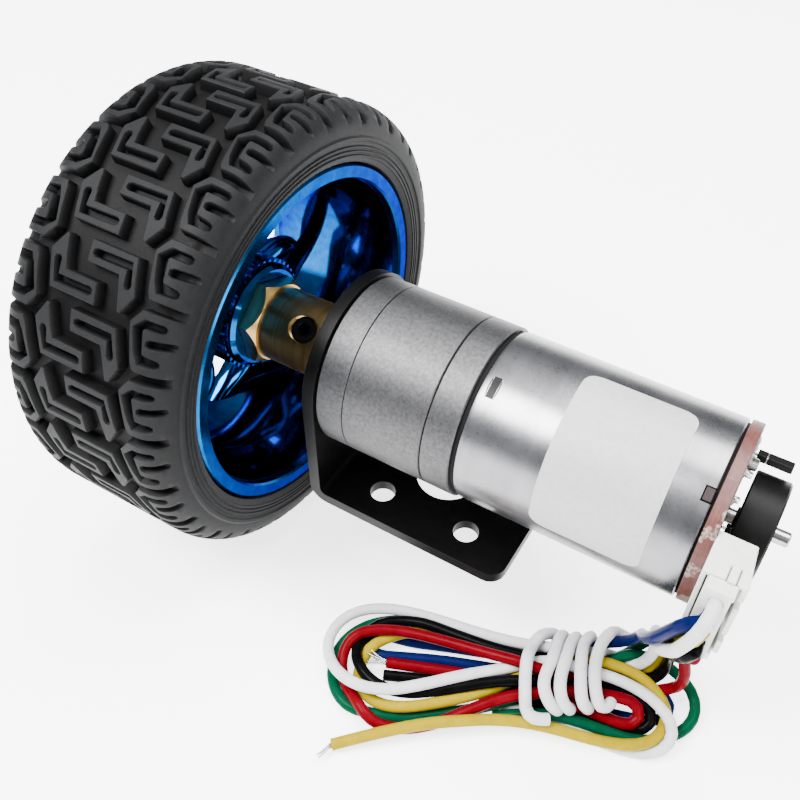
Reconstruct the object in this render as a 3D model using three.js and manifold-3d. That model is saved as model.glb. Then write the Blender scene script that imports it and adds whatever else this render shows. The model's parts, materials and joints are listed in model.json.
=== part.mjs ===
// A 12 V gearmotor with a wheel: spur gearbox, brushed motor, magnetic encoder, L bracket, hex coupling
// and lead. Millimetres, +Z up. X runs along the motor's axis: the wheel is at -X and the encoder at +X.
// Inside the group, x = 0 is the gearbox's front face and y = z = 0 is the axis. The group is then
// shifted so that the row's origin is on the underside of the bracket's foot.
import * as THREE from 'three';
import { mergeVertices } from 'three/addons/utils/BufferGeometryUtils.js';
import Module from 'manifold-3d';

const wasm = await Module();
wasm.setup();

// ---- driving dimensions -------------------------------------------------------------------------
const AXIS_HEIGHT = 19.1;
const RUNNING_GAP = 0.06;
const SEAT_GAP = 0.05;
const ROUND = 36;
const SMALL_ROUND = 16;

const BRACKET = {
  thick: 1.8, halfWidth: 13, footEnd: 30.1, bend: 1, corner: 2.5,
  holeX: [7.9, 22.2], holeY: 7.9, holeR: 1.9, windowX: 14.75, windowR: 4.8, bossR: 3.8,
};
const MOUNT_SCREW = { offset: 8.5, r: 1.48, headR: 2.75, head: 1.6, end: 2.1 };

const GEARBOX = { r: 12.5, bore: 11.3, frontEnd: 4.3, barrel: [4.38, 16.42], rear: [16.5, 20.8] };
const FRONT_WALL = 2.6;
const REAR_WALL = 17.6;
const BOSS = { r: 3.5, out: 2.5 };
const BUSH_R = 2.5;
const CASE_SCREW = { angles: [200, 270, 340], circle: 10.2, r: 0.98, headR: 1.85, head: 1.1, end: 19.5 };
const MOTOR_SCREW = { angles: [0, 180], circle: 8, r: 1.22, headR: 2.2, head: 1.4, end: 22.4 };

const TOOTH_MODULE = 0.35;
const WHEEL_TEETH = 24;
const PINION_TEETH = 10;
const CENTRE_DISTANCE = TOOTH_MODULE * (WHEEL_TEETH + PINION_TEETH) / 2;
const PIN = { r: 0.75, start: 1.2, end: 18.6, angles: [60, 120] };
const LAYER = [[3.1, 6.4], [6.9, 9.4], [9.9, 12.4], [12.9, 15.4]];

const OUTPUT_SHAFT = { r: 1.98, tip: -12.4, inner: 6.2, flat: 1.48, flatEnd: -3.6 };
const COUPLING = {
  hexFlats: 12, hexStart: -22.1, chamfer: -16.5, shoulder: -15.1, barrelR: 5.7, end: -4.1, bore: 2.05,
  angle: 128,
};
const SET_SCREW = { x: -8.1, r: 1.9, top: 5.5, hole: 2.02, socket: 1 };

const RIM = { inner: -8.6, outer: -34.6, flangeR: 26, wellR: 24.9, boreR: 23.6, hubR: 8, hubFace: -17.6 };
const RIM_WEB = { outer: -31.5, inner: -27.5, spokes: 6, spokeWidth: 5, floor: -25.2, pocket: -22.2 };
const WHEEL_SCREW = { r: 1.95, headR: 3.5, head: 2.6, end: -14.6, washerR: 4.2, washer: 0.6 };
const TYRE = { centre: -21.6, halfWidth: 13.7, r: 34, beadR: 25.15 };

const CAN = { r: 12.2, bore: 11.3, start: 21.1, end: 52.3, wall: 1.4, bossR: 3.4, bossStart: 19.6 };
const BEARING = { r: 2.1, bore: 1.0 + RUNNING_GAP };
const ROTOR_SHAFT = { r: 1, start: 12.8, end: 62.2 };
const CORE = { x: [28, 44], r: 8.2, poles: 3, neck: 3.2, hub: 3.4 };
const COMMUTATOR = { x: [45.4, 48.8], r: 2.6 };
const MAGNET = { x: [25.5, 46.5], inner: 8.9, outer: 11.2, span: 130 };
const END_CAP = { x: [49.8, 52.1], r: 11.2, bossR: 2.9, bossEnd: 53.9 };
const LUG = { angles: [125.5, 305.5], width: 1.65, x: [51.15, 52.25], r: 12.5 };
const TERMINAL = { circle: 8.5, angles: [78, 258], width: 1.4, thick: 0.5 };
const LABEL = { x: [32.6, 47.3], from: 81, to: 191, thick: 0.12 };

const PCB = { x: [52.65, 54.25], r: 12.3, bore: 3.4 };
const DRUM = { x: [55.5, 60], r: 6.7, collarR: 1.5, collar: 55.2 };
const HALL = { angles: [44.5, 290], inner: 7.6, outer: 9.1, width: 4, chamfer: 0.7, x: [54.7, 59.2] };
const HEADER = { x: [54.3, 59.65], y: [-15, -8.7], backX: 58.9, half: 6.95, wall: 0.6 };
const PLUG = { x: [55.1, 58.4], y: [-17, -10.4], half: 6.25, pitch: 2, wireR: 0.85 };

const FLOOR = -TYRE.r;
const LEAD_R = 2.1;
const LEAD_ROUTE = [
  [56.8, -17.4, 0], [56.8, -19.2, -0.2], [56.8, -21, -2.4], [56.4, -21.6, -5.6], [55.7, -20.8, -10],
  [54.6, -18.6, -15], [53.2, -16, -20], [51.8, -14, -24.6],
];
const HANK = { ends: [[19, -26], [55, -12]], r: 9.2, z: [FLOOR + 0.3, -27.2], sides: 12 };
const TIE = { from: 18, to: 32.5, r: 9.9, z: [FLOOR, -25.8] };
const TAIL_ROUTE = [
  [29.6, -33, -32.7], [26.6, -35, -32.9], [24, -36.8, -32.9], [21.6, -38.5, -32.8], [19.2, -40.1, -32.6],
  [18.6, -41.8, -32.4],
];
const TAIL_R = 0.8;

// ---- materials ----------------------------------------------------------------------------------
function metal(colour, roughness) {
  return new THREE.MeshStandardMaterial({ color: colour, roughness, metalness: 1 });
}
function plastic(colour, roughness) {
  return new THREE.MeshStandardMaterial({ color: colour, roughness, metalness: 0 });
}
const MATERIAL = {
  zinc: metal(0xb9bcbb, 0.42),
  canSteel: metal(0xb4babd, 0.35),
  steel: metal(0xc8c8c6, 0.3),
  blackSteel: metal(0x1d1c1d, 0.4),
  blackPaint: plastic(0x141416, 0.5),
  brass: metal(0xb59a63, 0.28),
  bronze: metal(0x9c7a4c, 0.6),
  copper: metal(0xb4623a, 0.4),
  magnet: plastic(0x3a3a3c, 0.7),
  carbon: plastic(0x222222, 0.8),
  blueChrome: metal(0x0a56d8, 0.08),
  rubber: plastic(0x2b2b2d, 0.8),
  blackPlastic: plastic(0x18181a, 0.45),
  brownPlastic: plastic(0x5a4147, 0.5),
  whitePlastic: plastic(0xeeeee6, 0.45),
  paper: plastic(0xf0f0ee, 0.6),
  board: plastic(0xa8676a, 0.55),
  bundle: plastic(0x50505a, 0.5),
  yellow: plastic(0xf0c010, 0.45),
};

// ---- geometry helpers ---------------------------------------------------------------------------
const radians = THREE.MathUtils.degToRad;

// The (y, z) point at a radius and an angle counted from +Y towards +Z.
function polar(radius, degrees) {
  return [radius * Math.cos(radians(degrees)), radius * Math.sin(radians(degrees))];
}

function signedVolume(positions, index) {
  const corner = [0, 1, 2].map(() => new THREE.Vector3());
  let volume = 0;
  for (let i = 0; i < index.length; i += 3) {
    corner.forEach((vector, k) => vector.fromArray(positions, 3 * index[i + k]));
    volume += corner[0].dot(corner[1].cross(corner[2])) / 6;
  }
  return volume;
}

function toSolid(geometry) {
  const bare = geometry.clone();
  bare.deleteAttribute('normal');
  bare.deleteAttribute('uv');
  const merged = mergeVertices(bare, 1e-4);
  const positions = merged.attributes.position.array;
  const index = [];
  for (let i = 0; i < merged.index.count; i += 3) {
    const [a, b, c] = [0, 1, 2].map((k) => merged.index.getX(i + k));
    if (a !== b && b !== c && c !== a) {
      index.push(a, b, c);
    }
  }
  if (signedVolume(positions, index) < 0) {
    index.reverse();
  }
  const mesh = new wasm.Mesh({
    numProp: 3, vertProperties: new Float32Array(positions), triVerts: new Uint32Array(index),
  });
  return new wasm.Manifold(mesh);
}

function toGeometry(solid) {
  const mesh = solid.getMesh();
  const geometry = new THREE.BufferGeometry();
  geometry.setAttribute('position', new THREE.BufferAttribute(mesh.vertProperties, 3));
  geometry.setIndex(new THREE.BufferAttribute(mesh.triVerts, 1));
  geometry.computeVertexNormals();
  return geometry;
}

// A body turned about the X axis. The profile's points are (x, radius). It starts and ends on the axis,
// or it is a ring's section, which closes on itself.
function turned(profile, segments = ROUND) {
  const points = profile.map(([x, radius]) => new THREE.Vector2(radius, x));
  if (profile[0][1] > 0) {
    points.push(points[0].clone());
  }
  return toSolid(new THREE.LatheGeometry(points, segments).rotateZ(-Math.PI / 2));
}

function rod(radius, x0, x1, segments = SMALL_ROUND) {
  return turned([[x0, 0], [x0, radius], [x1, radius], [x1, 0]], segments);
}

function ring(inner, outer, x0, x1, segments = ROUND) {
  return turned([[x0, inner], [x0, outer], [x1, outer], [x1, inner]], segments);
}

function extruded(shape, depth, basis, offset, curveSegments = 16) {
  const geometry = new THREE.ExtrudeGeometry(shape, { depth, bevelEnabled: false, curveSegments });
  geometry.applyMatrix4(new THREE.Matrix4().makeBasis(...basis.map((axis) => new THREE.Vector3(...axis))));
  return toSolid(geometry.translate(...offset));
}

// The shape lies in (y, z) and runs from x0 to x1.
function alongX(shape, x0, x1, curveSegments) {
  return extruded(shape, x1 - x0, [[0, 1, 0], [0, 0, 1], [1, 0, 0]], [x0, 0, 0], curveSegments);
}

// The shape lies in (x, z) and runs from -half to half in y.
function acrossY(shape, half, curveSegments) {
  return extruded(shape, 2 * half, [[1, 0, 0], [0, 0, 1], [0, -1, 0]], [0, half, 0], curveSegments);
}

// The shape lies in (x, y) and runs from z0 to z1.
function alongZ(shape, z0, z1, curveSegments) {
  return extruded(shape, z1 - z0, [[1, 0, 0], [0, 1, 0], [0, 0, 1]], [0, 0, z0], curveSegments);
}

function block(x, y, z) {
  const geometry = new THREE.BoxGeometry(x[1] - x[0], y[1] - y[0], z[1] - z[0]);
  return toSolid(geometry.translate((x[0] + x[1]) / 2, (y[0] + y[1]) / 2, (z[0] + z[1]) / 2));
}

function polygonShape(points) {
  return new THREE.Shape(points.map(([u, v]) => new THREE.Vector2(u, v)));
}

function turnedAbout(solid, degrees) {
  return solid.rotate([degrees, 0, 0]);
}

// A copy of an X-axis tool at each angle of a circle about the motor's axis.
function atAngles(tool, circle, angles) {
  return angles.map((angle) => tool.translate([0, ...polar(circle, angle)]));
}

function without(solid, tools) {
  return tools.reduce((rest, tool) => rest.subtract(tool), solid);
}

function joined(solids) {
  return solids.reduce((sum, solid) => sum.add(solid));
}

function tube(route, radius, sides, steps) {
  const path = new THREE.CatmullRomCurve3(route.map((point) => new THREE.Vector3(...point)));
  const section = polygonShape(Array.from({ length: sides }, (_, k) => polar(radius, (360 * k) / sides)));
  return toSolid(new THREE.ExtrudeGeometry(section, { steps, extrudePath: path, bevelEnabled: false }));
}

// ---- gears --------------------------------------------------------------------------------------
// A spur gear's outline, with a tooth centred on +Y. Each tooth has straight flanks from root to crest,
// thin enough to leave backlash.
function gearShape(teeth) {
  const pitch = (TOOTH_MODULE * teeth) / 2;
  const step = 360 / teeth;
  const levels = [
    { radius: pitch - 1.15 * TOOTH_MODULE, half: 0.34 },
    { radius: pitch + 0.8 * TOOTH_MODULE, half: 0.11 },
  ];
  const points = [];
  for (let tooth = 0; tooth < teeth; tooth += 1) {
    for (const side of [-1, 1]) {
      const flank = side < 0 ? levels : [...levels].reverse();
      for (const { radius, half } of flank) {
        points.push(polar(radius, (tooth + side * half) * step));
      }
    }
  }
  return polygonShape(points);
}

function gear(teeth, [x0, x1], phase = 0) {
  return turnedAbout(alongX(gearShape(teeth), x0, x1), phase);
}

// The turn that puts a pinion in mesh with a wheel that has a tooth on +Y, where direction is the angle
// from the wheel's centre to the pinion's.
function pinionPhase(direction) {
  return (direction + 180 - 180 / PINION_TEETH) % (360 / PINION_TEETH);
}

function compoundGear(wheelLayer, pinionLayer, direction) {
  const wheel = gear(WHEEL_TEETH, wheelLayer);
  const pinion = gear(PINION_TEETH, [pinionLayer[0], wheelLayer[0] + 0.2], pinionPhase(direction));
  return wheel.add(pinion).subtract(rod(PIN.r + RUNNING_GAP, 0, REAR_WALL));
}

// ---- the assembly -------------------------------------------------------------------------------
const motor = new THREE.Group();
motor.position.set(-BRACKET.holeX[0], 0, AXIS_HEIGHT);

function add(name, solid, material, yz = [0, 0]) {
  const mesh = new THREE.Mesh(toGeometry(solid), material);
  mesh.name = name;
  mesh.position.set(0, ...yz);
  motor.add(mesh);
}

// -- bracket --------------------------------------------------------------------------------------
function bracket() {
  const { thick, halfWidth, footEnd, bend, corner } = BRACKET;
  const bottom = -AXIS_HEIGHT;
  const outerBend = bend + thick;

  const section = new THREE.Shape();
  section.moveTo(-thick, halfWidth);
  section.lineTo(-thick, bottom + outerBend);
  section.absarc(-thick + outerBend, bottom + outerBend, outerBend, Math.PI, 1.5 * Math.PI);
  section.lineTo(footEnd, bottom);
  section.lineTo(footEnd, bottom + thick);
  section.absarc(bend, bottom + thick + bend, bend, 1.5 * Math.PI, Math.PI, true);
  section.lineTo(0, halfWidth);

  const front = new THREE.Shape();
  front.moveTo(halfWidth, bottom - 1);
  front.lineTo(halfWidth, 0);
  front.absarc(0, 0, halfWidth, 0, Math.PI);
  front.lineTo(-halfWidth, bottom - 1);

  const plan = new THREE.Shape();
  plan.moveTo(-thick - 1, -halfWidth);
  plan.lineTo(footEnd - corner, -halfWidth);
  plan.absarc(footEnd - corner, -halfWidth + corner, corner, -Math.PI / 2, 0);
  plan.absarc(footEnd - corner, halfWidth - corner, corner, 0, Math.PI / 2);
  plan.lineTo(-thick - 1, halfWidth);

  const sheet = acrossY(section, halfWidth, 4)
    .intersect(alongX(front, -thick - 1, footEnd + 1, 14))
    .intersect(alongZ(plan, bottom - 1, halfWidth + 1, 5));

  const drill = (x, y, radius) => toSolid(
    new THREE.CylinderGeometry(radius, radius, 6, 20).rotateX(Math.PI / 2).translate(x, y, bottom),
  );
  const footHoles = BRACKET.holeX.flatMap((x) => [-1, 1].map(
    (side) => drill(x, side * BRACKET.holeY, BRACKET.holeR),
  ));
  const plateHoles = atAngles(rod(1.7, -thick - 1, 1), MOUNT_SCREW.offset, [0, 180]);
  const window = drill(BRACKET.windowX, 0, BRACKET.windowR);
  return without(sheet, [...footHoles, window, rod(BRACKET.bossR, -thick - 1, 1, ROUND), ...plateHoles]);
}
add('bracket', bracket(), MATERIAL.blackPaint);

[0, 180].forEach((angle, k) => {
  const { r, headR, head, end } = MOUNT_SCREW;
  const seat = -BRACKET.thick - SEAT_GAP;
  const slot = block([seat - head - 1, seat - head + 0.7], [-1.6, 1.6], [-0.3, 0.3]);
  const screw = turned([
    [seat - head, 0], [seat - head, headR - 0.7], [seat - head + 0.5, headR], [seat, headR], [seat, r],
    [end, r], [end, 0],
  ], SMALL_ROUND);
  const recess = slot.add(turnedAbout(slot, 90));
  add(`bracket_screw_${k + 1}`, screw.subtract(recess), MATERIAL.steel, polar(MOUNT_SCREW.offset, angle));
});

// -- gearbox case ---------------------------------------------------------------------------------
function gearboxFront() {
  const { r, bore, frontEnd } = GEARBOX;
  const body = turned([
    [-BOSS.out, BUSH_R + SEAT_GAP], [-BOSS.out, BOSS.r], [0, BOSS.r], [0, r - 0.3], [0.3, r], [frontEnd, r],
    [frontEnd, bore], [FRONT_WALL, bore], [FRONT_WALL, BUSH_R + SEAT_GAP],
  ], ROUND);
  const head = CASE_SCREW.head + 0.1;
  const caseHole = rod(CASE_SCREW.r + 0.1, -1, 5).add(rod(CASE_SCREW.headR + 0.12, -1, head + SEAT_GAP));
  return without(body, [
    ...atAngles(rod(1.58, -1, 5), MOUNT_SCREW.offset, [0, 180]),
    ...atAngles(rod(PIN.r + SEAT_GAP, PIN.start - SEAT_GAP, 5), CENTRE_DISTANCE, PIN.angles),
    ...atAngles(caseHole, CASE_SCREW.circle, CASE_SCREW.angles),
  ]);
}
add('gearbox_front', gearboxFront(), MATERIAL.zinc);
add('output_bush', ring(OUTPUT_SHAFT.r + RUNNING_GAP, BUSH_R, -BOSS.out, FRONT_WALL), MATERIAL.bronze);

function gearboxBarrel() {
  const [x0, x1] = GEARBOX.barrel;
  const { r, bore } = GEARBOX;
  return turned([[x0, bore], [x0, r - 0.1], [x0 + 0.1, r], [x1 - 0.1, r], [x1, r - 0.1], [x1, bore]]);
}
add('gearbox_barrel', gearboxBarrel(), MATERIAL.zinc);

function gearboxRear() {
  const [x0, x1] = GEARBOX.rear;
  const { r, bore } = GEARBOX;
  const centreHole = CAN.bossR + 0.2;
  const body = turned([
    [x0, bore], [x0, r - 0.1], [x0 + 0.1, r], [x1 - 0.2, r], [x1, r - 0.2], [x1, centreHole],
    [REAR_WALL, centreHole], [REAR_WALL, bore],
  ]);
  return without(body, [
    ...atAngles(rod(PIN.r + SEAT_GAP, x0, PIN.end + SEAT_GAP), CENTRE_DISTANCE, PIN.angles),
    ...atAngles(rod(CASE_SCREW.r + 0.1, x0, CASE_SCREW.end + SEAT_GAP), CASE_SCREW.circle, CASE_SCREW.angles),
    ...atAngles(rod(MOTOR_SCREW.r + 0.1, x0, x1 + 1), MOTOR_SCREW.circle, MOTOR_SCREW.angles),
  ]);
}
add('gearbox_rear', gearboxRear(), MATERIAL.zinc);

CASE_SCREW.angles.forEach((angle, k) => {
  const { r, headR, head, end } = CASE_SCREW;
  const screw = turned([
    [0.1, 0], [0.1, headR], [0.1 + head, headR], [0.1 + head, r], [end, r], [end, 0],
  ], SMALL_ROUND);
  const slot = block([-1, 0.7], [-2, 2], [-0.25, 0.25]);
  add(`gearbox_screw_${k + 1}`, screw.subtract(slot), MATERIAL.steel, polar(CASE_SCREW.circle, angle));
});

MOTOR_SCREW.angles.forEach((angle, k) => {
  const { r, headR, head, end } = MOTOR_SCREW;
  const seat = REAR_WALL - SEAT_GAP;
  const screw = turned([
    [seat - head, 0], [seat - head, headR], [seat, headR], [seat, r], [end, r], [end, 0],
  ], SMALL_ROUND);
  const slot = block([seat - head - 1, seat - head + 0.6], [-2.5, 2.5], [-0.3, 0.3]);
  add(`motor_screw_${k + 1}`, screw.subtract(slot), MATERIAL.steel, polar(MOTOR_SCREW.circle, angle));
});

PIN.angles.forEach((angle, k) => {
  add(`gear_pin_${k + 1}`, rod(PIN.r, PIN.start, PIN.end, 16), MATERIAL.steel, polar(CENTRE_DISTANCE, angle));
});

// -- gear train: 24:10 four times, from the rotor's pinion to the output gear ---------------------
const PIN_1 = polar(CENTRE_DISTANCE, PIN.angles[0]);
const PIN_2 = polar(CENTRE_DISTANCE, PIN.angles[1]);
const FROM_1_TO_2 = 180;
const FROM_2_TO_1 = 0;
const FROM_1_TO_CENTRE = PIN.angles[0] + 180;
add('gear_3', compoundGear(LAYER[1], LAYER[0], PIN.angles[0]), MATERIAL.steel, PIN_1);
add('gear_2', compoundGear(LAYER[2], LAYER[1], FROM_1_TO_2), MATERIAL.steel, PIN_2);
add('gear_1', compoundGear(LAYER[3], LAYER[2], FROM_2_TO_1), MATERIAL.steel, PIN_1);
const outputGear = gear(WHEEL_TEETH, LAYER[0]).subtract(rod(OUTPUT_SHAFT.r + 0.06, 0, 9, 24));
add('output_gear', outputGear, MATERIAL.steel);

function outputShaft() {
  const { r, tip, inner, flat, flatEnd } = OUTPUT_SHAFT;
  const shaft = turned([[tip, 0], [tip, r - 0.3], [tip + 0.3, r], [inner, r], [inner, 0]]);
  const flatCut = turnedAbout(block([tip - 1, flatEnd], [flat, 4], [-4, 4]), COUPLING.angle);
  return shaft.subtract(flatCut);
}
add('output_shaft', outputShaft(), MATERIAL.steel);

// -- coupling, its set screw and the wheel --------------------------------------------------------
function hexPrism(flats, x0, x1) {
  const corners = [0, 1, 2, 3, 4, 5].map((k) => polar(flats / Math.sqrt(3), COUPLING.angle + 30 + 60 * k));
  return alongX(polygonShape(corners), x0, x1);
}

function coupling() {
  const { hexFlats, hexStart, chamfer, shoulder, barrelR, end, bore, angle } = COUPLING;
  const cone = turned([
    [hexStart, 0], [hexStart, 6.6], [hexStart + 0.5, 7.1], [chamfer, 7.1], [shoulder, 6], [shoulder, 0],
  ]);
  const hex = hexPrism(hexFlats, hexStart, shoulder).intersect(cone);
  const barrel = turned([
    [shoulder - 0.5, 0], [shoulder - 0.5, barrelR], [end - 0.3, barrelR], [end, barrelR - 0.3], [end, 0],
  ]);
  const screwHole = toSolid(new THREE.CylinderGeometry(SET_SCREW.hole, SET_SCREW.hole, 8, 24)
    .translate(SET_SCREW.x, 5, 0));
  return hex.add(barrel)
    .subtract(rod(bore, hexStart - 1, end + 1, ROUND))
    .subtract(turnedAbout(screwHole, angle));
}
add('hex_coupling', coupling(), MATERIAL.brass);

function setScrew() {
  const { r, top, socket, x } = SET_SCREW;
  const foot = OUTPUT_SHAFT.flat + SEAT_GAP;
  const body = rod(r, foot, top, 24);
  const hexagon = polygonShape([0, 1, 2, 3, 4, 5].map((k) => polar(socket, 60 * k)));
  const recess = alongX(hexagon, top - 1.6, top + 1);
  const radial = body.subtract(recess).rotate([0, 0, 90]).translate([x, 0, 0]);
  return turnedAbout(radial, COUPLING.angle);
}
add('set_screw', setScrew(), MATERIAL.blackSteel);

function rim() {
  const { inner, outer, flangeR, wellR, boreR, hubR, hubFace } = RIM;
  const web = RIM_WEB;
  const barrel = turned([
    [outer, flangeR - 1.7], [outer, flangeR], [outer + 1.2, flangeR], [outer + 1.8, wellR],
    [inner - 1.8, wellR], [inner - 1.2, flangeR], [inner, flangeR], [inner, flangeR - 1.8],
    [inner - 1.6, boreR], [outer + 1.6, boreR],
  ], 44);
  const hub = rod(hubR, web.outer, hubFace, 28);
  const halfSpoke = web.spokeWidth / 2;
  const spoke = block([web.outer, web.inner], [hubR - 1, boreR + 0.4], [-halfSpoke, halfSpoke]);
  const spokeAngles = Array.from({ length: web.spokes }, (_, k) => 30 + (360 * k) / web.spokes);
  const spokes = spokeAngles.map((angle) => turnedAbout(spoke, angle));
  return without(joined([barrel, hub, ...spokes]), [
    hexPrism(COUPLING.hexFlats + 0.15, web.pocket, hubFace + 1),
    rod(WHEEL_SCREW.r + 0.2, web.outer - 1, hubFace + 1, 24),
    rod(WHEEL_SCREW.washerR + 0.3, web.outer - 1, web.floor, 24),
  ]);
}
add('wheel_rim', rim(), MATERIAL.blueChrome);

function tyre() {
  const { centre, halfWidth, r, beadR } = TYRE;
  const flangeX = RIM.inner - centre;
  const clearR = RIM.flangeR + 0.2;
  const half = [
    [flangeX - 2.3, beadR], [flangeX - 1.8, clearR], [halfWidth - 0.5, clearR], [halfWidth, clearR + 1.2],
    [halfWidth, r - 3.6], [halfWidth - 0.8, r - 1.7], [halfWidth - 2.4, r - 0.5], [halfWidth - 5, r],
  ];
  const other = half.map(([x, radius]) => [-x, radius]).reverse();
  const profile = [...half, ...other].map(([x, radius]) => [x + centre, radius]);
  return turned(profile, 52);
}
add('tyre', tyre(), MATERIAL.rubber);

function wheelScrew() {
  const { r, headR, head, end, washer } = WHEEL_SCREW;
  const seat = RIM_WEB.floor - washer - 2 * SEAT_GAP;
  const screw = turned([
    [seat - head, 0], [seat - head, headR - 0.6], [seat - head + 0.6, headR], [seat, headR], [seat, r],
    [end, r], [end, 0],
  ], 24);
  const slot = block([seat - head - 1, seat - head + 1.2], [-2.2, 2.2], [-0.4, 0.4]);
  return screw.subtract(slot.add(turnedAbout(slot, 90)));
}
add('wheel_screw', wheelScrew(), MATERIAL.steel);

function wheelWasher() {
  const { r, washerR, washer } = WHEEL_SCREW;
  const seat = RIM_WEB.floor - SEAT_GAP;
  return ring(r + 0.15, washerR, seat - washer, seat, 20);
}
add('wheel_washer', wheelWasher(), MATERIAL.steel);

// -- motor can, magnets and end cap ---------------------------------------------------------------
function can() {
  const { r, bore, start, end, wall, bossR, bossStart } = CAN;
  const seatR = BEARING.r + SEAT_GAP;
  const body = turned([
    [bossStart, seatR], [bossStart, bossR], [start, bossR], [start, r - 0.9], [start + 0.25, r - 0.3],
    [start + 0.9, r], [end, r], [end, bore], [start + wall, bore], [start + wall, seatR],
  ]);
  const halfNotch = LUG.width / 2 + 0.15;
  const notch = block([LUG.x[0] - 0.15, end + 1], [bore - 2, r + 1], [-halfNotch, halfNotch]);
  const screwHole = rod(MOTOR_SCREW.r + 0.1, start - 1, start + wall + 1);
  return without(body, [
    ...LUG.angles.map((angle) => turnedAbout(notch, angle)),
    ...atAngles(screwHole, MOTOR_SCREW.circle, MOTOR_SCREW.angles),
  ]);
}
add('motor_can', can(), MATERIAL.canSteel);
add('front_bearing', ring(BEARING.bore, BEARING.r, CAN.bossStart, CAN.start + CAN.wall, 16), MATERIAL.bronze);

function arcShape(inner, outer, from, to, segments) {
  const at = (radius, k) => polar(radius, from + ((to - from) * k) / segments);
  const steps = Array.from({ length: segments + 1 }, (_, k) => k);
  return polygonShape([...steps.map((k) => at(outer, k)), ...steps.reverse().map((k) => at(inner, k))]);
}

[0, 180].forEach((middle, k) => {
  const { x, inner, outer, span } = MAGNET;
  const shape = arcShape(inner, outer - 0.1, middle - span / 2, middle + span / 2, 14);
  add(`magnet_${k + 1}`, alongX(shape, ...x), MATERIAL.magnet);
});

function endCap() {
  const { x, r, bossR, bossEnd } = END_CAP;
  const seatR = BEARING.r + SEAT_GAP;
  const body = turned([
    [x[0], seatR], [x[0], r], [x[1], r], [x[1], bossR], [bossEnd, bossR], [bossEnd, seatR],
  ]);
  const lug = block(LUG.x, [r - 2, LUG.r], [-LUG.width / 2, LUG.width / 2]);
  const halfThick = TERMINAL.thick / 2 + 0.1;
  const halfWide = TERMINAL.width / 2 + 0.1;
  const slotY = [TERMINAL.circle - halfThick, TERMINAL.circle + halfThick];
  const slot = block([x[0] - 1, x[1] + 1], slotY, [-halfWide, halfWide]);
  return without(joined([body, ...LUG.angles.map((angle) => turnedAbout(lug, angle))]),
    TERMINAL.angles.map((angle) => turnedAbout(slot, angle)));
}
add('end_cap', endCap(), MATERIAL.brownPlastic);
add('rear_bearing', ring(BEARING.bore, BEARING.r, END_CAP.x[0], END_CAP.bossEnd, 16), MATERIAL.bronze);

// Each brush is a carbon block on a copper arm that stands on the end cap's inner face.
[90, 270].forEach((angle, k) => {
  const carbon = block([46.2, 48], [COMMUTATOR.r + 0.1, 5.4], [-1, 1]);
  const arm = block([46.2, END_CAP.x[0] - SEAT_GAP], [5.2, 5.8], [-1.2, 1.2]);
  add(`brush_${k + 1}`, turnedAbout(carbon.add(arm), angle), MATERIAL.carbon);
});

// Each terminal passes through the end cap and the board and ends in its solder joint.
TERMINAL.angles.forEach((angle, k) => {
  const { circle, thick, width } = TERMINAL;
  const tabX = [END_CAP.x[0] - 1.4, PCB.x[1] + 0.8];
  const tab = block(tabX, [circle - thick / 2, circle + thick / 2], [-width / 2, width / 2]);
  const face = PCB.x[1] + SEAT_GAP;
  const solder = turned([
    [face, 0], [face, 1.2], [face + 0.4, 0.9], [face + 1, 0.75], [face + 1.1, 0],
  ], SMALL_ROUND).translate([0, circle, 0]);
  add(`terminal_${k + 1}`, turnedAbout(tab.add(solder), angle), MATERIAL.steel);
});

function label() {
  const inner = CAN.r + SEAT_GAP;
  return alongX(arcShape(inner, inner + LABEL.thick, LABEL.from, LABEL.to, 22), ...LABEL.x);
}
add('label', label(), MATERIAL.paper);

// -- rotor ----------------------------------------------------------------------------------------
add('rotor_shaft', rod(ROTOR_SHAFT.r, ROTOR_SHAFT.start, ROTOR_SHAFT.end, 24), MATERIAL.steel);

function motorPinion() {
  const layer = [LAYER[3][0] - 0.2, LAYER[3][1] + 0.5];
  const bore = rod(ROTOR_SHAFT.r + 0.03, 0, REAR_WALL, 24);
  return gear(PINION_TEETH, layer, pinionPhase(FROM_1_TO_CENTRE)).subtract(bore);
}
add('motor_pinion', motorPinion(), MATERIAL.brass);

// The armature's three poles: each is a neck with a curved shoe.
function armatureCore() {
  const { x, r, poles, neck, hub } = CORE;
  const shoe = alongX(arcShape(r - 1.6, r, -46, 46, 10), ...x);
  const stem = block(x, [0, r - 1], [-neck / 2, neck / 2]);
  const pole = shoe.add(stem);
  const all = Array.from({ length: poles }, (_, k) => turnedAbout(pole, (360 * k) / poles));
  return joined([rod(hub, ...x, 24), ...all]).subtract(rod(ROTOR_SHAFT.r + 0.03, x[0] - 1, x[1] + 1, 24));
}
add('armature_core', armatureCore(), MATERIAL.zinc);

// One coil round each pole's neck, standing proud of the core at both ends.
for (let k = 0; k < CORE.poles; k += 1) {
  const outer = block([CORE.x[0] - 1.4, CORE.x[1] + 1.2], [3.6, 5.8], [-2.9, 2.9]);
  const halfNeck = CORE.neck / 2 + 0.1;
  const opening = block([CORE.x[0] - 0.1, CORE.x[1] + 0.1], [3, 7], [-halfNeck, halfNeck]);
  add(`winding_${k + 1}`, turnedAbout(outer.subtract(opening), (360 * k) / CORE.poles), MATERIAL.copper);
}

function commutator() {
  const [x0, x1] = COMMUTATOR.x;
  const slit = block([x0 + 0.6, x1 + 1], [1.9, 4], [-0.15, 0.15]);
  const slits = [60, 180, 300].map((angle) => turnedAbout(slit, angle));
  return without(ring(ROTOR_SHAFT.r + 0.03, COMMUTATOR.r, x0, x1, 24), slits);
}
add('commutator', commutator(), MATERIAL.copper);

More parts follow.
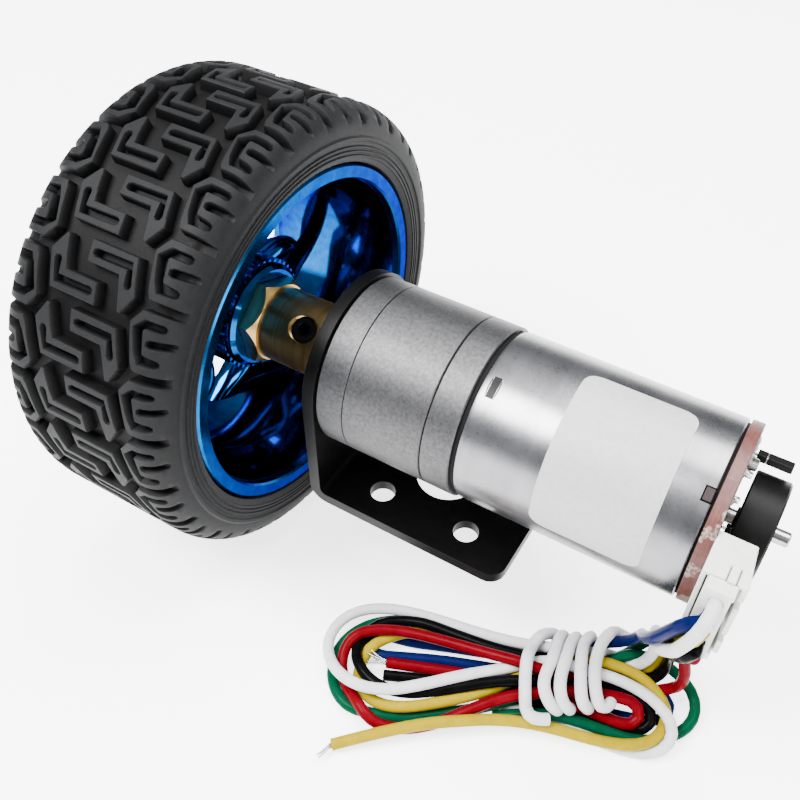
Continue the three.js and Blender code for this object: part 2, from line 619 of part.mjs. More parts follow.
function encoderMagnet() {
  const { x, r, collarR, collar } = DRUM;
  const bore = ROTOR_SHAFT.r + 0.03;
  return turned([
    [collar, bore], [collar, collarR], [x[0], collarR], [x[0], r - 0.2], [x[0] + 0.2, r],
    [x[1] - 0.2, r], [x[1], r - 0.2], [x[1], bore],
  ]);
}
add('encoder_magnet', encoderMagnet(), MATERIAL.blackPlastic);

// -- encoder board --------------------------------------------------------------------------------
function encoderBoard() {
  const terminalHole = rod(1, PCB.x[0] - 1, PCB.x[1] + 1);
  return without(ring(PCB.bore, PCB.r, ...PCB.x), atAngles(terminalHole, TERMINAL.circle, TERMINAL.angles));
}
add('encoder_board', encoderBoard(), MATERIAL.board);

// Each sensor has two bevels on its outer face and three leads to the board.

HALL.angles.forEach((angle, k) => {
  const { inner, outer, width, chamfer, x } = HALL;
  const half = width / 2;
  const body = alongX(polygonShape([
    [inner, -half], [outer - chamfer, -half], [outer, chamfer - half], [outer, half - chamfer],
    [outer - chamfer, half], [inner, half],
  ]), ...x);
  const middle = (inner + outer) / 2;
  const leadX = [PCB.x[1] + SEAT_GAP, x[0] + 0.2];
  const leads = [-1.27, 0, 1.27].map(
    (offset) => block(leadX, [middle - 0.2, middle + 0.2], [offset - 0.2, offset + 0.2]),
  );
  add(`hall_sensor_${k + 1}`, turnedAbout(joined([body, ...leads]), angle), MATERIAL.blackPlastic);
});

// The header's front leans in towards its closed end.
function header() {
  const { x, y, backX, half, wall } = HEADER;
  const box = alongZ(polygonShape([[x[0], y[0]], [x[1], y[0]], [backX, y[1]], [x[0], y[1]]]), -half, half);
  const innerX = x[0] + wall;
  const innerY = y[1] - wall;
  const cavity = alongZ(polygonShape([
    [innerX, y[0] - 1], [x[1] - wall, y[0] - 1], [backX - wall, innerY], [innerX, innerY],
  ]), -half + wall, half - wall);
  return box.subtract(cavity);
}
add('board_header', header(), MATERIAL.whitePlastic);

// -- lead: plug, six-wire bundle, hank and the one tail that leaves it ----------------------------
function plug() {
  const { x, y, half, pitch, wireR } = PLUG;
  const middle = (x[0] + x[1]) / 2;
  const hole = toSolid(new THREE.CylinderGeometry(wireR, wireR, 4, 12).translate(middle, y[0], 0));
  const offsets = [-2.5, -1.5, -0.5, 0.5, 1.5, 2.5].map((k) => k * pitch);
  return without(block(x, y, [-half, half]), offsets.map((z) => hole.translate([0, 0, z])));
}
add('lead_plug', plug(), MATERIAL.whitePlastic);
add('lead_bundle', tube(LEAD_ROUTE, LEAD_R, 8, 12), MATERIAL.bundle);

// The hank is an outline with round ends, and its tie is the wider band round its middle.
function hank() {
  const [[ax, ay], [bx, by]] = HANK.ends;
  const length = Math.hypot(bx - ax, by - ay);
  const outline = new THREE.Shape();
  outline.absarc(0, 0, HANK.r, Math.PI / 2, 1.5 * Math.PI);
  outline.absarc(length, 0, HANK.r, -Math.PI / 2, Math.PI / 2);
  const wound = alongZ(outline, ...HANK.z, HANK.sides);
  const tie = block([TIE.from, TIE.to], [-TIE.r, TIE.r], TIE.z);
  const turn = THREE.MathUtils.radToDeg(Math.atan2(by - ay, bx - ax));
  return wound.add(tie).rotate([0, 0, turn]).translate([ax, ay, 0]);
}
add('wire_hank', hank(), MATERIAL.bundle);
add('wire_tail', tube(TAIL_ROUTE, TAIL_R, 8, 6), MATERIAL.yellow);

export default motor;
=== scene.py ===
"""Looks for the 12 V gearmotor with its wheel, bracket and lead.

The helpers take axis coordinates: millimetres from the gearbox's front face on the motor's axis, with +X to
the encoder and +Z up. row() turns them into the row frame's metres. Angles run from +Y towards +Z.
"""

import json
import math

import bmesh
import bpy
import numpy as np
from mathutils import Matrix, Vector
from mathutils.geometry import delaunay_2d_cdt


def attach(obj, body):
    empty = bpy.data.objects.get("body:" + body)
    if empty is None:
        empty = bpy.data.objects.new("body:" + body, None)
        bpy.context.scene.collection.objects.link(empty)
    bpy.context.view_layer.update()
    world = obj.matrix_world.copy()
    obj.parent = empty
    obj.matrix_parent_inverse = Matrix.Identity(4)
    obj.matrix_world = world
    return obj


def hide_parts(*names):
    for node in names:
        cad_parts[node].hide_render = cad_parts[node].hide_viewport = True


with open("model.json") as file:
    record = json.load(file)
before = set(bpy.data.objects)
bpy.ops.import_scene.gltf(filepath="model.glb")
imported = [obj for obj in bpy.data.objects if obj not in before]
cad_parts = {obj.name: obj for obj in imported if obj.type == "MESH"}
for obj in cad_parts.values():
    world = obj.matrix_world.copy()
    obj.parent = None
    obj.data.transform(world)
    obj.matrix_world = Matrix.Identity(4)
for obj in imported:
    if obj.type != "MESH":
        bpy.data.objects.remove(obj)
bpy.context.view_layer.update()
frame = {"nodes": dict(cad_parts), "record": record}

AXIS = (-7.9, 0.0, 19.1)  # the axis coordinates' origin in the row frame, in millimetres
FLOOR = -34.0


def row(point):
    """Axis coordinates, in the row frame."""
    return Vector([(point[i] + AXIS[i]) / 1000 for i in range(3)])


def polar(radius, degrees):
    angle = math.radians(degrees)
    return radius * math.cos(angle), radius * math.sin(angle)


# ---- camera ------------------------------------------------------------------------------------------------
CAMERA_PLACE = (54.82, -80.07, 91.10)
CAMERA_TURNS = (28.71, 46.48, 2.11)  # degrees round from +Y towards -X, down, and of roll
LENS = 40.97
SHIFT = (-0.036, 0.0135)
CLIP = (0.005, 20)


def add_camera():
    azimuth, elevation, roll = map(math.radians, CAMERA_TURNS)
    level = math.cos(elevation)
    ahead = Vector((-math.sin(azimuth) * level, math.cos(azimuth) * level, -math.sin(elevation)))
    right = ahead.cross(Vector((0, 0, 1))).normalized()
    up = right.cross(ahead)
    rolled_right = math.cos(roll) * right + math.sin(roll) * up
    rolled_up = math.cos(roll) * up - math.sin(roll) * right
    data = bpy.data.cameras.new("camera")
    data.sensor_width, data.lens = 36, LENS
    data.shift_x, data.shift_y = SHIFT
    data.clip_start, data.clip_end = CLIP
    camera = bpy.data.objects.new("camera", data)
    bpy.context.scene.collection.objects.link(camera)
    turn = Matrix((rolled_right, rolled_up, -ahead)).transposed().to_4x4()
    camera.matrix_world = Matrix.Translation(row(CAMERA_PLACE)) @ turn
    bpy.context.scene.camera = camera


add_camera()


# ---- materials ---------------------------------------------------------------------------------------------
class Nodes:
    """A short way to wire a procedural material. Patterns use object coordinates, in metres."""

    def __init__(self, name):
        self.material = bpy.data.materials.new(name)
        self.material.use_nodes = True
        self.tree = self.material.node_tree
        self.shader = self.tree.nodes["Principled BSDF"]
        self.place = self.tree.nodes.new("ShaderNodeTexCoord").outputs["Object"]

    def link(self, source, target):
        self.tree.links.new(source, target)

    def noise(self, scale, detail, stretch=None):
        node = self.tree.nodes.new("ShaderNodeTexNoise")
        node.inputs["Scale"].default_value = scale
        node.inputs["Detail"].default_value = detail
        node.inputs["Roughness"].default_value = 0.55
        source = self.place
        if stretch:
            mapping = self.tree.nodes.new("ShaderNodeMapping")
            mapping.inputs["Scale"].default_value = stretch
            self.link(self.place, mapping.inputs["Vector"])
            source = mapping.outputs["Vector"]
        self.link(source, node.inputs["Vector"])
        return node.outputs["Fac"]

    def ramp(self, source, stops):
        node = self.tree.nodes.new("ShaderNodeValToRGB")
        elements = node.color_ramp.elements
        while len(elements) < len(stops):
            elements.new(0.5)
        for element, (position, colour) in zip(elements, stops):
            element.position = position
            element.color = (*colour, 1)
        self.link(source, node.inputs["Fac"])
        return node.outputs["Color"]

    def span(self, source, low, high):
        node = self.tree.nodes.new("ShaderNodeMapRange")
        node.inputs["To Min"].default_value = low
        node.inputs["To Max"].default_value = high
        self.link(source, node.inputs["Value"])
        return node.outputs["Result"]

    def math(self, operation, a, b):
        node = self.tree.nodes.new("ShaderNodeMath")
        node.operation = operation
        for socket, value in zip(node.inputs, (a, b)):
            if isinstance(value, (int, float)):
                socket.default_value = value
            else:
                self.link(value, socket)
        return node.outputs["Value"]

    def axis_value(self, axis):
        node = self.tree.nodes.new("ShaderNodeSeparateXYZ")
        self.link(self.place, node.inputs["Vector"])
        return node.outputs[axis]

    def bump(self, height, strength, distance):
        node = self.tree.nodes.new("ShaderNodeBump")
        node.inputs["Strength"].default_value = strength
        node.inputs["Distance"].default_value = distance
        self.link(height, node.inputs["Height"])
        self.link(node.outputs["Normal"], self.shader.inputs["Normal"])


def finish_material(name, dark, light, metallic, rough, scale, bump=0.0, stretch=None, distance=0.00005,
                    specular=0.5, tint=None):
    """Two tones mixed by noise, a roughness that varies with a finer noise, and a bump from that noise."""
    nodes = Nodes(name)
    broad = nodes.noise(scale, 4, stretch=stretch)
    fine = nodes.noise(scale * 5, 3, stretch=stretch)
    nodes.link(nodes.ramp(broad, [(0.3, dark), (0.7, light)]), nodes.shader.inputs["Base Color"])
    nodes.link(nodes.span(fine, *rough), nodes.shader.inputs["Roughness"])
    nodes.shader.inputs["Metallic"].default_value = metallic
    nodes.shader.inputs["Specular IOR Level"].default_value = specular
    if tint:
        nodes.shader.inputs["Specular Tint"].default_value = (*tint, 1)
    if bump:
        nodes.bump(fine, bump, distance)
    return nodes.material


def grey(low, high, tint=1.0):
    """Two neutral tones, with a slight shift towards blue when tint is above 1."""
    return (low, low, low * tint), (high, high, high * tint)


def turned_metal(name, dark, light, rough, rings, grain):
    """Bare metal with fine rings round the motor's axis, a broad mottle and a grain."""
    nodes = Nodes(name)
    broad = nodes.noise(160, 4)
    lines = nodes.noise(rings, 2, stretch=(1, 0.02, 0.02))
    fine = nodes.noise(grain, 3)
    mixed = nodes.math("ADD", nodes.math("MULTIPLY", broad, 0.6), nodes.math("MULTIPLY", lines, 0.4))
    nodes.link(nodes.ramp(mixed, [(0.35, dark), (0.65, light)]), nodes.shader.inputs["Base Color"])
    grain_and_mottle = nodes.math("MULTIPLY", fine, broad)
    nodes.link(nodes.span(grain_and_mottle, *rough), nodes.shader.inputs["Roughness"])
    nodes.shader.inputs["Metallic"].default_value = 1
    nodes.bump(nodes.math("ADD", fine, lines), 0.08, 0.00002)
    return nodes.material


# The rubber's tones, from the painted shade deep in the grooves up to the dusty tops.
RUBBER_TONES = [(0.0, (0.0003, 0.0003, 0.0003)), (0.45, (0.0013, 0.0013, 0.0014)),
                (0.9, (0.0056, 0.0058, 0.0064))]


def rubber_material():
    """Tread rubber: a dust mottle on the tops, and painted shade that darkens the grooves to near black. The
    mesh stores how deep in a groove each point is.
    """
    nodes = Nodes("rubber")
    deep = nodes.tree.nodes.new("ShaderNodeAttribute")
    deep.attribute_name = "groove"
    dust = nodes.noise(900, 4)
    fine = nodes.noise(4200, 3)
    lit = nodes.math("ADD", nodes.math("MULTIPLY", dust, 0.35), 0.62)
    # Painted shade: the deeper a point lies in a groove, the darker it is made.
    groove_shaded_tone = nodes.math("SUBTRACT", lit, nodes.math("MULTIPLY", deep.outputs["Fac"], 0.85))
    nodes.link(nodes.ramp(groove_shaded_tone, RUBBER_TONES), nodes.shader.inputs["Base Color"])
    nodes.link(nodes.span(fine, 0.5, 0.72), nodes.shader.inputs["Roughness"])
    nodes.shader.inputs["Specular IOR Level"].default_value = 0.1
    nodes.bump(fine, 0.35, 0.00005)
    return nodes.material


def board_material():
    """Pink-brown laminate with a layered edge, and fluxed solder patches on the connector's side."""
    nodes = Nodes("board_edge")
    mottle = nodes.noise(900, 4)
    layers = nodes.noise(700, 2, stretch=(9, 0.4, 0.4))
    patches = nodes.noise(240, 3)
    specks = nodes.noise(2600, 2)
    low_side = nodes.math("MULTIPLY", nodes.math("ADD", nodes.axis_value("Y"), 0.0045), -170.0)
    fluxed = nodes.math("MULTIPLY", nodes.math("GREATER_THAN", patches, 0.52), low_side)
    mixed = nodes.math("ADD", nodes.math("MULTIPLY", mottle, 0.5), nodes.math("MULTIPLY", layers, 0.5))
    base = nodes.ramp(mixed, [(0.35, (0.040, 0.007, 0.005)), (0.65, (0.095, 0.022, 0.017))])
    patch = nodes.ramp(specks, [(0.4, (0.07, 0.03, 0.022)), (0.6, (0.22, 0.16, 0.14))])
    mix = nodes.tree.nodes.new("ShaderNodeMix")
    mix.data_type = "RGBA"
    clamp = nodes.tree.nodes.new("ShaderNodeClamp")
    nodes.link(nodes.math("MULTIPLY", fluxed, 6.0), clamp.inputs["Value"])
    nodes.link(clamp.outputs["Result"], mix.inputs["Factor"])
    nodes.link(base, mix.inputs["A"])
    nodes.link(patch, mix.inputs["B"])
    nodes.link(mix.outputs["Result"], nodes.shader.inputs["Base Color"])
    nodes.link(nodes.span(specks, 0.35, 0.6), nodes.shader.inputs["Roughness"])
    nodes.bump(specks, 0.4, 0.00006)
    return nodes.material


# Each finish has two tones, metallic, a range of roughness, its noise's scale, a bump and what else differs.
FINISHES = {
    "black_paint": (grey(0.0006, 0.0014), 0, (0.3, 0.42), 900, 0.12, {"specular": 0.09}),
    "zinc": (grey(0.050, 0.085, 1.03), 1, (0.36, 0.56), 2200, 0.5, {"distance": 0.00004}),
    "steel": (grey(0.16, 0.34), 1, (0.12, 0.28), 1800, 0.1, {"stretch": (0.2, 1, 1)}),
    # Painted shade, for dark rings put in the gaps between parts.
    "gap_painted_shade": (grey(0.0008, 0.002), 0, (0.6, 0.8), 900, 0.0, {"specular": 0.1}),
    "black_steel": (grey(0.001, 0.003), 0, (0.3, 0.45), 1500, 0.1, {"specular": 0.12}),
    "bronze": (((0.30, 0.20, 0.10), (0.42, 0.30, 0.16)), 1, (0.4, 0.6), 2500, 0.3, {}),
    "copper": (((0.45, 0.16, 0.07), (0.62, 0.27, 0.13)), 1, (0.25, 0.4), 2500, 0.3, {}),
    "ferrite": (grey(0.02, 0.04), 0, (0.55, 0.75), 1800, 0.3, {}),
    "blue_chrome": (((0.0, 0.038, 0.15), (0.0, 0.066, 0.225)), 1, (0.05, 0.11), 500, 0.04,
                    {"tint": (0.0, 0.07, 0.22)}),
    # Painted shade: a darker copy of the blue chrome for the flanges, which mirror bright light; the other
    # chrome keeps the lighter tones.
    "flange_chrome_painted_darker": (((0.0, 0.040, 0.12), (0.0, 0.060, 0.17)), 1, (0.16, 0.26), 700, 0.06,
                    {"tint": (0.0, 0.18, 0.5)}),
    "black_plastic": (grey(0.0006, 0.0016), 0, (0.35, 0.5), 1500, 0.15, {"specular": 0.09}),
    "brown_plastic": (((0.006, 0.0016, 0.0016), (0.012, 0.0032, 0.003)), 0, (0.5, 0.65), 1500, 0.2,
                      {"specular": 0.3}),
    "cream": (((0.50, 0.51, 0.48), (0.60, 0.61, 0.58)), 0, (0.3, 0.45), 900, 0.08, {}),
    "paper": (grey(0.30, 0.345, 1.01), 0, (0.35, 0.5), 1300, 0.12, {}),
    "solder": (grey(0.08, 0.26, 0.94), 1, (0.2, 0.45), 1600, 0.5, {}),
    "tinned": (grey(0.35, 0.6), 1, (0.15, 0.3), 2600, 0.2, {}),
}
WIRES = {
    "white": ((0.42, 0.42, 0.44), (0.50, 0.50, 0.52)),
    "blue": ((0.0012, 0.003, 0.030), (0.002, 0.005, 0.044)),
    "green": ((0.0, 0.026, 0.011), (0.0, 0.042, 0.018)),
    "yellow": ((0.205, 0.148, 0.0), (0.25, 0.182, 0.0)),
    "black": ((0.0008, 0.0008, 0.0009), (0.002, 0.002, 0.0022)),
    "red": ((0.075, 0.0, 0.002), (0.10, 0.0004, 0.004)),
}
MAT = {
    "can": turned_metal("can", *grey(0.15, 0.21, 1.05), (0.24, 0.44), 500, 2600),
    "brass": turned_metal("brass", (0.24, 0.15, 0.05), (0.46, 0.31, 0.11), (0.26, 0.44), 2600, 3000),
    "rubber": rubber_material(),
    "board_edge": board_material(),
}
for finish_name, (tones, metallic, rough, scale, bump, more) in FINISHES.items():
    MAT[finish_name] = finish_material(finish_name, *tones, metallic, rough, scale, bump, **more)
for wire_name, tones in WIRES.items():
    MAT[wire_name] = finish_material("wire_" + wire_name, *tones, 0, (0.18, 0.28), 700, 0.06, specular=0.02)


# ---- mesh helpers ------------------------------------------------------------------------------------------
MERGE = 1e-7  # metres
BEVEL_FROM = 35  # degrees


def new_object(name, vertices, faces, material, sharp=32, bevel=0.0, groove=None):
    """A piece from axis coordinates. groove is each vertex's share of the tread's depth."""
    mesh = bpy.data.meshes.new(name)
    mesh.from_pydata([row(v) for v in vertices], [], faces)
    if groove is not None:
        mesh.attributes.new("groove", "FLOAT", "POINT").data.foreach_set("value", groove)
    piece = bpy.data.objects.new(name, mesh)
    bpy.context.scene.collection.objects.link(piece)
    return dress(piece, material, sharp, bevel)


def dress(piece, material, sharp=32, bevel=0.0, segments=2):
    """Cleans the mesh and gives it its material, its sharp edges and a bevel."""
    mesh = piece.data
    clean = bmesh.new()
    clean.from_mesh(mesh)
    bmesh.ops.remove_doubles(clean, verts=clean.verts, dist=MERGE)
    bmesh.ops.recalc_face_normals(clean, faces=clean.faces)
    clean.to_mesh(mesh)
    clean.free()
    mesh.shade_smooth()
    mesh.set_sharp_from_angle(angle=math.radians(sharp))
    mesh.materials.clear()
    mesh.materials.append(MAT[material])
    if bevel:
        modifier = piece.modifiers.new("bevel", "BEVEL")
        modifier.width = bevel / 1000
        modifier.segments = segments
        modifier.limit_method = "ANGLE"
        modifier.angle_limit = math.radians(BEVEL_FROM)
        modifier.harden_normals = True
        modifier.use_clamp_overlap = True
    return piece


def lathe(name, profile, material, segments=160, **looks):
    """Turns (x, radius) points about the motor's axis. A profile that starts off the axis makes a ring."""
    closed = profile[0][1] > 0
    count = len(profile)
    vertices = [(x, *polar(radius, 360 * k / segments)) for k in range(segments) for x, radius in profile]
    faces = []
    for k in range(segments):
        here, there = k * count, (k + 1) % segments * count
        for i in range(count if closed else count - 1):
            j = (i + 1) % count
            faces.append((here + i, here + j, there + j, there + i))
    return new_object(name, vertices, faces, material, **looks)


def ring_faces(count, rings=2):
    """The faces between closed rings of count points, one ring after another."""
    faces = []
    for k in range(rings - 1):
        here, there = k * count, (k + 1) * count
        for i in range(count):
            j = (i + 1) % count
            faces.append((here + i, here + j, there + j, there + i))
    return faces


def end_faces(count, rings=2):
    """The faces that close the first and the last ring."""
    return [tuple(reversed(range(count))), tuple(range((rings - 1) * count, rings * count))]


def prism(name, outline, start, end, material, axis="x", **looks):
    """An outline run along an axis: (y, z) along x, (x, z) along y or (x, y) along z."""
    vertices = []
    for along in (start, end):
        for a, b in outline:
            vertices.append({"x": (along, a, b), "y": (a, along, b), "z": (a, b, along)}[axis])
    return new_object(name, vertices, ring_faces(len(outline)) + end_faces(len(outline)), material, **looks)


def block(name, x, y, z, material, turn=0.0, **looks):
    """A box from its ranges in x, y and z, turned about the motor's axis."""
    corners = [(a, b, c) for a in x for b in y for c in z]
    if turn:
        ct, st = polar(1, turn)
        corners = [(a, b * ct - c * st, b * st + c * ct) for a, b, c in corners]
    faces = [(0, 1, 3, 2), (4, 6, 7, 5), (0, 4, 5, 1), (2, 3, 7, 6), (0, 2, 6, 4), (1, 5, 7, 3)]
    return new_object(name, corners, faces, material, **looks)


def cut(piece, tools, operation="DIFFERENCE"):
    """Cuts the tools out of the piece, or joins or intersects them with it, then removes them."""
    for tool in tools:
        modifier = piece.modifiers.new("cut", "BOOLEAN")
        modifier.operation = operation
        modifier.solver = "EXACT"
        modifier.object = tool
    graph = bpy.context.evaluated_depsgraph_get()
    result = bpy.data.meshes.new_from_object(piece.evaluated_get(graph))
    old = piece.data
    piece.modifiers.clear()
    piece.data = result
    bpy.data.meshes.remove(old)
    for tool in tools:
        bpy.data.objects.remove(tool)


def circle(radius, segments):
    return [polar(radius, 360 * k / segments) for k in range(segments)]


def rod(name, radius, start, end, centre=(0.0, 0.0), axis="x", segments=48):
    """A round tool along an axis, to cut with."""
    outline = [(centre[0] + a, centre[1] + b) for a, b in circle(radius, segments)]
    return prism(name, outline, start, end, "steel", axis)


def arc(centre, radius, start, end, steps):
    """Points on a circle, from one angle to another."""
    points = []
    for k in range(steps + 1):
        a, b = polar(radius, start + (end - start) * k / steps)
        points.append((centre[0] + a, centre[1] + b))
    return points


def keep(piece, body, slot, *nodes):
    """Rides the piece on a body and hides the CAD nodes that it stands for. Its slot is not used."""
    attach(piece, body)
    if nodes:
        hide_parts(*nodes)
    return piece


# ---- cords: six wires from the plug, laid in a hank, with a wire tie ---------------------------------------
WIRE_R = 0.83
TIE_R = 0.88
PLUG_FACE = -17.0
# Each wire's height where it leaves the plug.
EXIT_Z = {"white": 5, "blue": 3, "green": 1, "yellow": -1, "black": -3, "red": -5}

# Routes in (x, y, z): out of the plug, left through the tie, round the left loop, right through the
# tie, round the right loop, and left again to the free end.
ROUTES = {
    "white": [
        (57, -19.4, 4.6), (56.8, -20.2, 2.4), (56.2, -20.1, -1), (55, -19, -4.6), (53.8, -17.1, -8),
        (53, -14.6, -12), (52.7, -11.8, -16), (52.7, -8.8, -21), (53, -6.6, -26.5), (53, -5.6, -30.2),
        (50.3, -6.2, -31), (47, -7.8, -30.4), (44, -9.8, -29), (35.8, -14.3, -29), (30, -14.8, -30),
        (24.2, -15.1, -31), (18.3, -15.5, -31.5), (13.5, -16.6, -32), (9.5, -19, -32), (7.8, -22.6, -32),
        (8.3, -26.3, -32), (9.6, -28.9, -31.5), (12.2, -30.9, -30.6), (15.4, -32.3, -29.8),
        (18.8, -32.8, -29.3), (21.5, -31.9, -29.3), (23.9, -29.8, -29.3), (26.3, -26.8, -29.3),
        (30, -22.6, -29.3), (34.7, -19.3, -29), (40, -15.4, -28.4), (47.5, -11.3, -28.5),
        (50.3, -10.4, -29), (53.8, -10.3, -29.5), (57.2, -11, -30), (59.6, -12.6, -30.5),
        (61.2, -14.1, -31.5), (61.2, -15.8, -32.6), (60.2, -17.4, -33.2), (58, -18.4, -33.2),
        (55.2, -18.8, -33.2), (50.3, -18.7, -33.2), (44, -19.4, -33.2), (38, -20.6, -33.2),
        (33, -22.4, -33.2),
    ],
    "blue": [
        (56, -19, 2.4), (54.4, -19, 0), (53, -18.2, -4), (51.9, -16.5, -8), (51, -14.1, -12),
        (50.6, -11.2, -16), (50.4, -8.4, -20.6), (49.8, -6.5, -25.6), (49.2, -5.6, -29), (47.2, -6.4, -31),
        (42, -11.6, -31.4), (36, -14.6, -32), (29, -16.4, -32.6), (23, -18.4, -33), (17.2, -20.2, -33.2),
        (13.6, -22, -33.2), (12.9, -24, -33.2), (14.4, -25, -33.2), (17.3, -24, -33.2), (20.5, -22.6, -33),
        (24.5, -20.7, -32.4), (28.5, -19.3, -32), (34, -18, -31.6), (40, -15.4, -31), (47.5, -10.8, -31),
        (52.8, -7.6, -32), (55.9, -6.9, -32.4), (58.3, -7.6, -32.8), (59.5, -9.4, -33.2), (59, -12, -33.2),
        (56.1, -14.3, -33.2), (49.1, -15.9, -33.2), (43, -17.6, -33.2), (37, -20.2, -33.2),
    ],
    "green": [
        (56, -18.6, 0.4), (54.8, -17.9, -2.2), (53.8, -16.9, -5), (53.1, -15.2, -8), (52.4, -12.7, -12),
        (52, -9.8, -16), (51.9, -6.7, -21), (51.9, -4.8, -27.4), (51.6, -5, -32), (49.3, -6.4, -33.2),
        (45, -9.4, -33.2), (39, -11.8, -33.2), (33, -13, -33.2), (27, -14.2, -33.2), (20, -15.2, -33.2),
        (15, -16.8, -33.2), (11.3, -20.3, -33.2), (9.8, -24.2, -33.2), (10.1, -27.5, -33.2),
        (11.4, -30.4, -33.2), (13.6, -32.9, -33.2), (16.7, -34.3, -33.2), (20.1, -34.4, -33.2),
        (24.1, -33.2, -33.2), (28, -30.4, -33.2), (32.5, -26, -33.1), (36.5, -22, -32.6),
        (40, -18.4, -31.6), (43.5, -12.4, -29.8), (46.7, -8.1, -29), (50.3, -6.2, -29.5), (54.6, -5, -30.2),
        (58.4, -4.3, -31.2), (61.7, -5.4, -32.2), (63, -7.4, -33), (63, -10.3, -33.2), (61.8, -12.9, -33.2),
        (58.8, -15, -33.2), (55.2, -17, -33.2), (51.8, -17.8, -33.2), (46.3, -18.5, -33.2),
        (41, -20, -32.8), (36, -22.6, -32.4),
    ],
    "yellow": [
        (56.4, -18.4, -1.6), (55.7, -17.8, -4.4), (54.9, -15.4, -8), (54.1, -12.9, -12), (53.8, -10.1, -16),
        (53.8, -7.2, -21), (54, -5.6, -26), (54.4, -5, -31.8), (50.9, -7.6, -33), (47, -8.8, -32.8),
        (41, -10.4, -31.8), (34.9, -12.6, -32), (29, -14.8, -32.4), (24.7, -16, -32.6), (20, -17.8, -32.8),
        (16.2, -21, -33), (14.2, -23.6, -33.2), (14, -26.4, -33.2), (15, -29.3, -33), (17, -31.4, -32.5),
        (19.6, -32.7, -32), (22.3, -32.6, -31.7), (25, -31, -31.4), (27.6, -28.4, -31.2),
        (30.4, -25.4, -31.2), (34.2, -21.9, -31.2), (38.2, -18.2, -31), (43, -12.4, -29),
        (47.2, -9.5, -28.6), (50.2, -8.1, -29.1), (53.7, -7.8, -30), (56.4, -8.4, -31), (58.6, -10, -31.6),
        (59.6, -11.9, -32), (59.7, -14.2, -32), (58.9, -16.6, -32.1), (57.1, -18.5, -32.2),
        (54.2, -19.7, -32.2), (50.7, -20.5, -32), (47.1, -20.9, -31.8), (43.4, -21.4, -31.6),
        (40, -22.3, -31.6), (38.4, -23, -31.6), (33.9, -25.7, -31.8), (28.3, -30.1, -32),
        (23.4, -34.6, -32.4), (18.9, -39.1, -33),
    ],
    "black": [
        (57.2, -18.6, -3.6), (56.8, -18.6, -5.6), (55.8, -16.9, -8.4), (55, -14.5, -12), (54.7, -11.8, -16),
        (54.8, -8.8, -21), (55, -7, -27), (54.8, -6.8, -32.2), (51.6, -9.2, -32.6), (47.6, -10.6, -31),
        (42, -13, -29.2), (36.7, -16.1, -29), (30.8, -16.4, -30), (25, -16.5, -30.6), (19.5, -16.9, -31),
        (15.7, -18.1, -31.2), (12.9, -20.2, -31.5), (12.1, -22.8, -31.6), (12.8, -25.7, -31.4),
        (14.6, -27.9, -31.2), (17.1, -29.7, -31), (19.9, -30.7, -31), (22.8, -30.4, -30.8),
        (25.4, -28.7, -30.6), (27.8, -26.2, -30.4), (30.7, -22.9, -30.2), (35.3, -19.6, -30),
        (40.6, -16.6, -29.2), (47.7, -12.7, -29.2), (50.9, -11.8, -29.8), (54.1, -11.9, -30.8),
        (57.1, -12.6, -31.6), (58.3, -14, -32.2), (57, -15.6, -32.7), (53, -16.6, -33), (49, -17, -33.1),
        (43, -18, -32.4), (37.5, -19.4, -32), (32, -21.4, -32.6), (26.7, -22.9, -33), (23, -24.4, -33.2),
        (19.6, -26.4, -33.2),
    ],
    "red": [
        (57.4, -17.6, -6), (57, -16, -8.4), (56, -13, -12), (55.7, -10.2, -16), (55.9, -8, -20),
        (57.9, -8.6, -25), (57, -8.2, -31.6), (52.4, -11, -32.8), (46.6, -11.8, -30.4), (42, -14.8, -28.6),
        (37.3, -17.2, -28.4), (31.6, -17.9, -29), (26, -18.4, -29.6), (20.9, -19.3, -30),
        (17, -20.2, -30.4), (13.6, -21.8, -31), (11.4, -24, -31.8), (11, -26.6, -32.4),
        (11.8, -28.8, -32.8), (14, -31, -33), (16.9, -32.9, -33.2), (20.1, -34.6, -33.2),
        (23.4, -35, -33.2), (26.6, -33.4, -33.2), (29.2, -30, -33), (32.4, -25.6, -32.4),
        (36, -21.6, -31.6), (40, -18.2, -30.4), (44.2, -15.3, -29), (48.6, -13.7, -29.2),
        (52.5, -12.8, -30), (55.6, -13.1, -30.8), (56.6, -14.2, -31.4), (55, -15.6, -31.8),
        (51.6, -16.3, -32), (47, -17, -31.6), (42, -17.4, -31.4), (36.5, -18.6, -31.2), (30, -20.9, -31.6),
        (24.4, -23, -32), (19.2, -25, -32),
    ],
}
STEP = 1.6  # from point to point along a wire
ROUNDS = 320
PUSH = 0.42  # the share of an overlap that each wire moves in a round
SMOOTH = 0.22  # how fast a point moves towards its neighbours' middle
MOST_BEND = 0.42  # how far a point may stand off its neighbours' middle before it is pulled back
UNBEND = 0.12  # how fast it is pulled back
EVEN = 0.25  # how fast the steps go back to their length
CLEAR = 0.03  # the gap that is left between two wires
NEAR = 6 * WIRE_R  # points nearer than this are looked at, and looked for again after LOOK rounds
LOOK = 8
OWN = 4  # points of one wire this close in order don't push each other
HELD = 3  # a wire's first points, in the plug, stay where they are
FREE = 7  # the points after this one are pulled to their routes
LED = 20  # the points before this one, between the plug and the hank, keep closer to their routes
LED_PULL, EARLY_PULL, LATE_PULL = 0.06, 0.02, 0.004


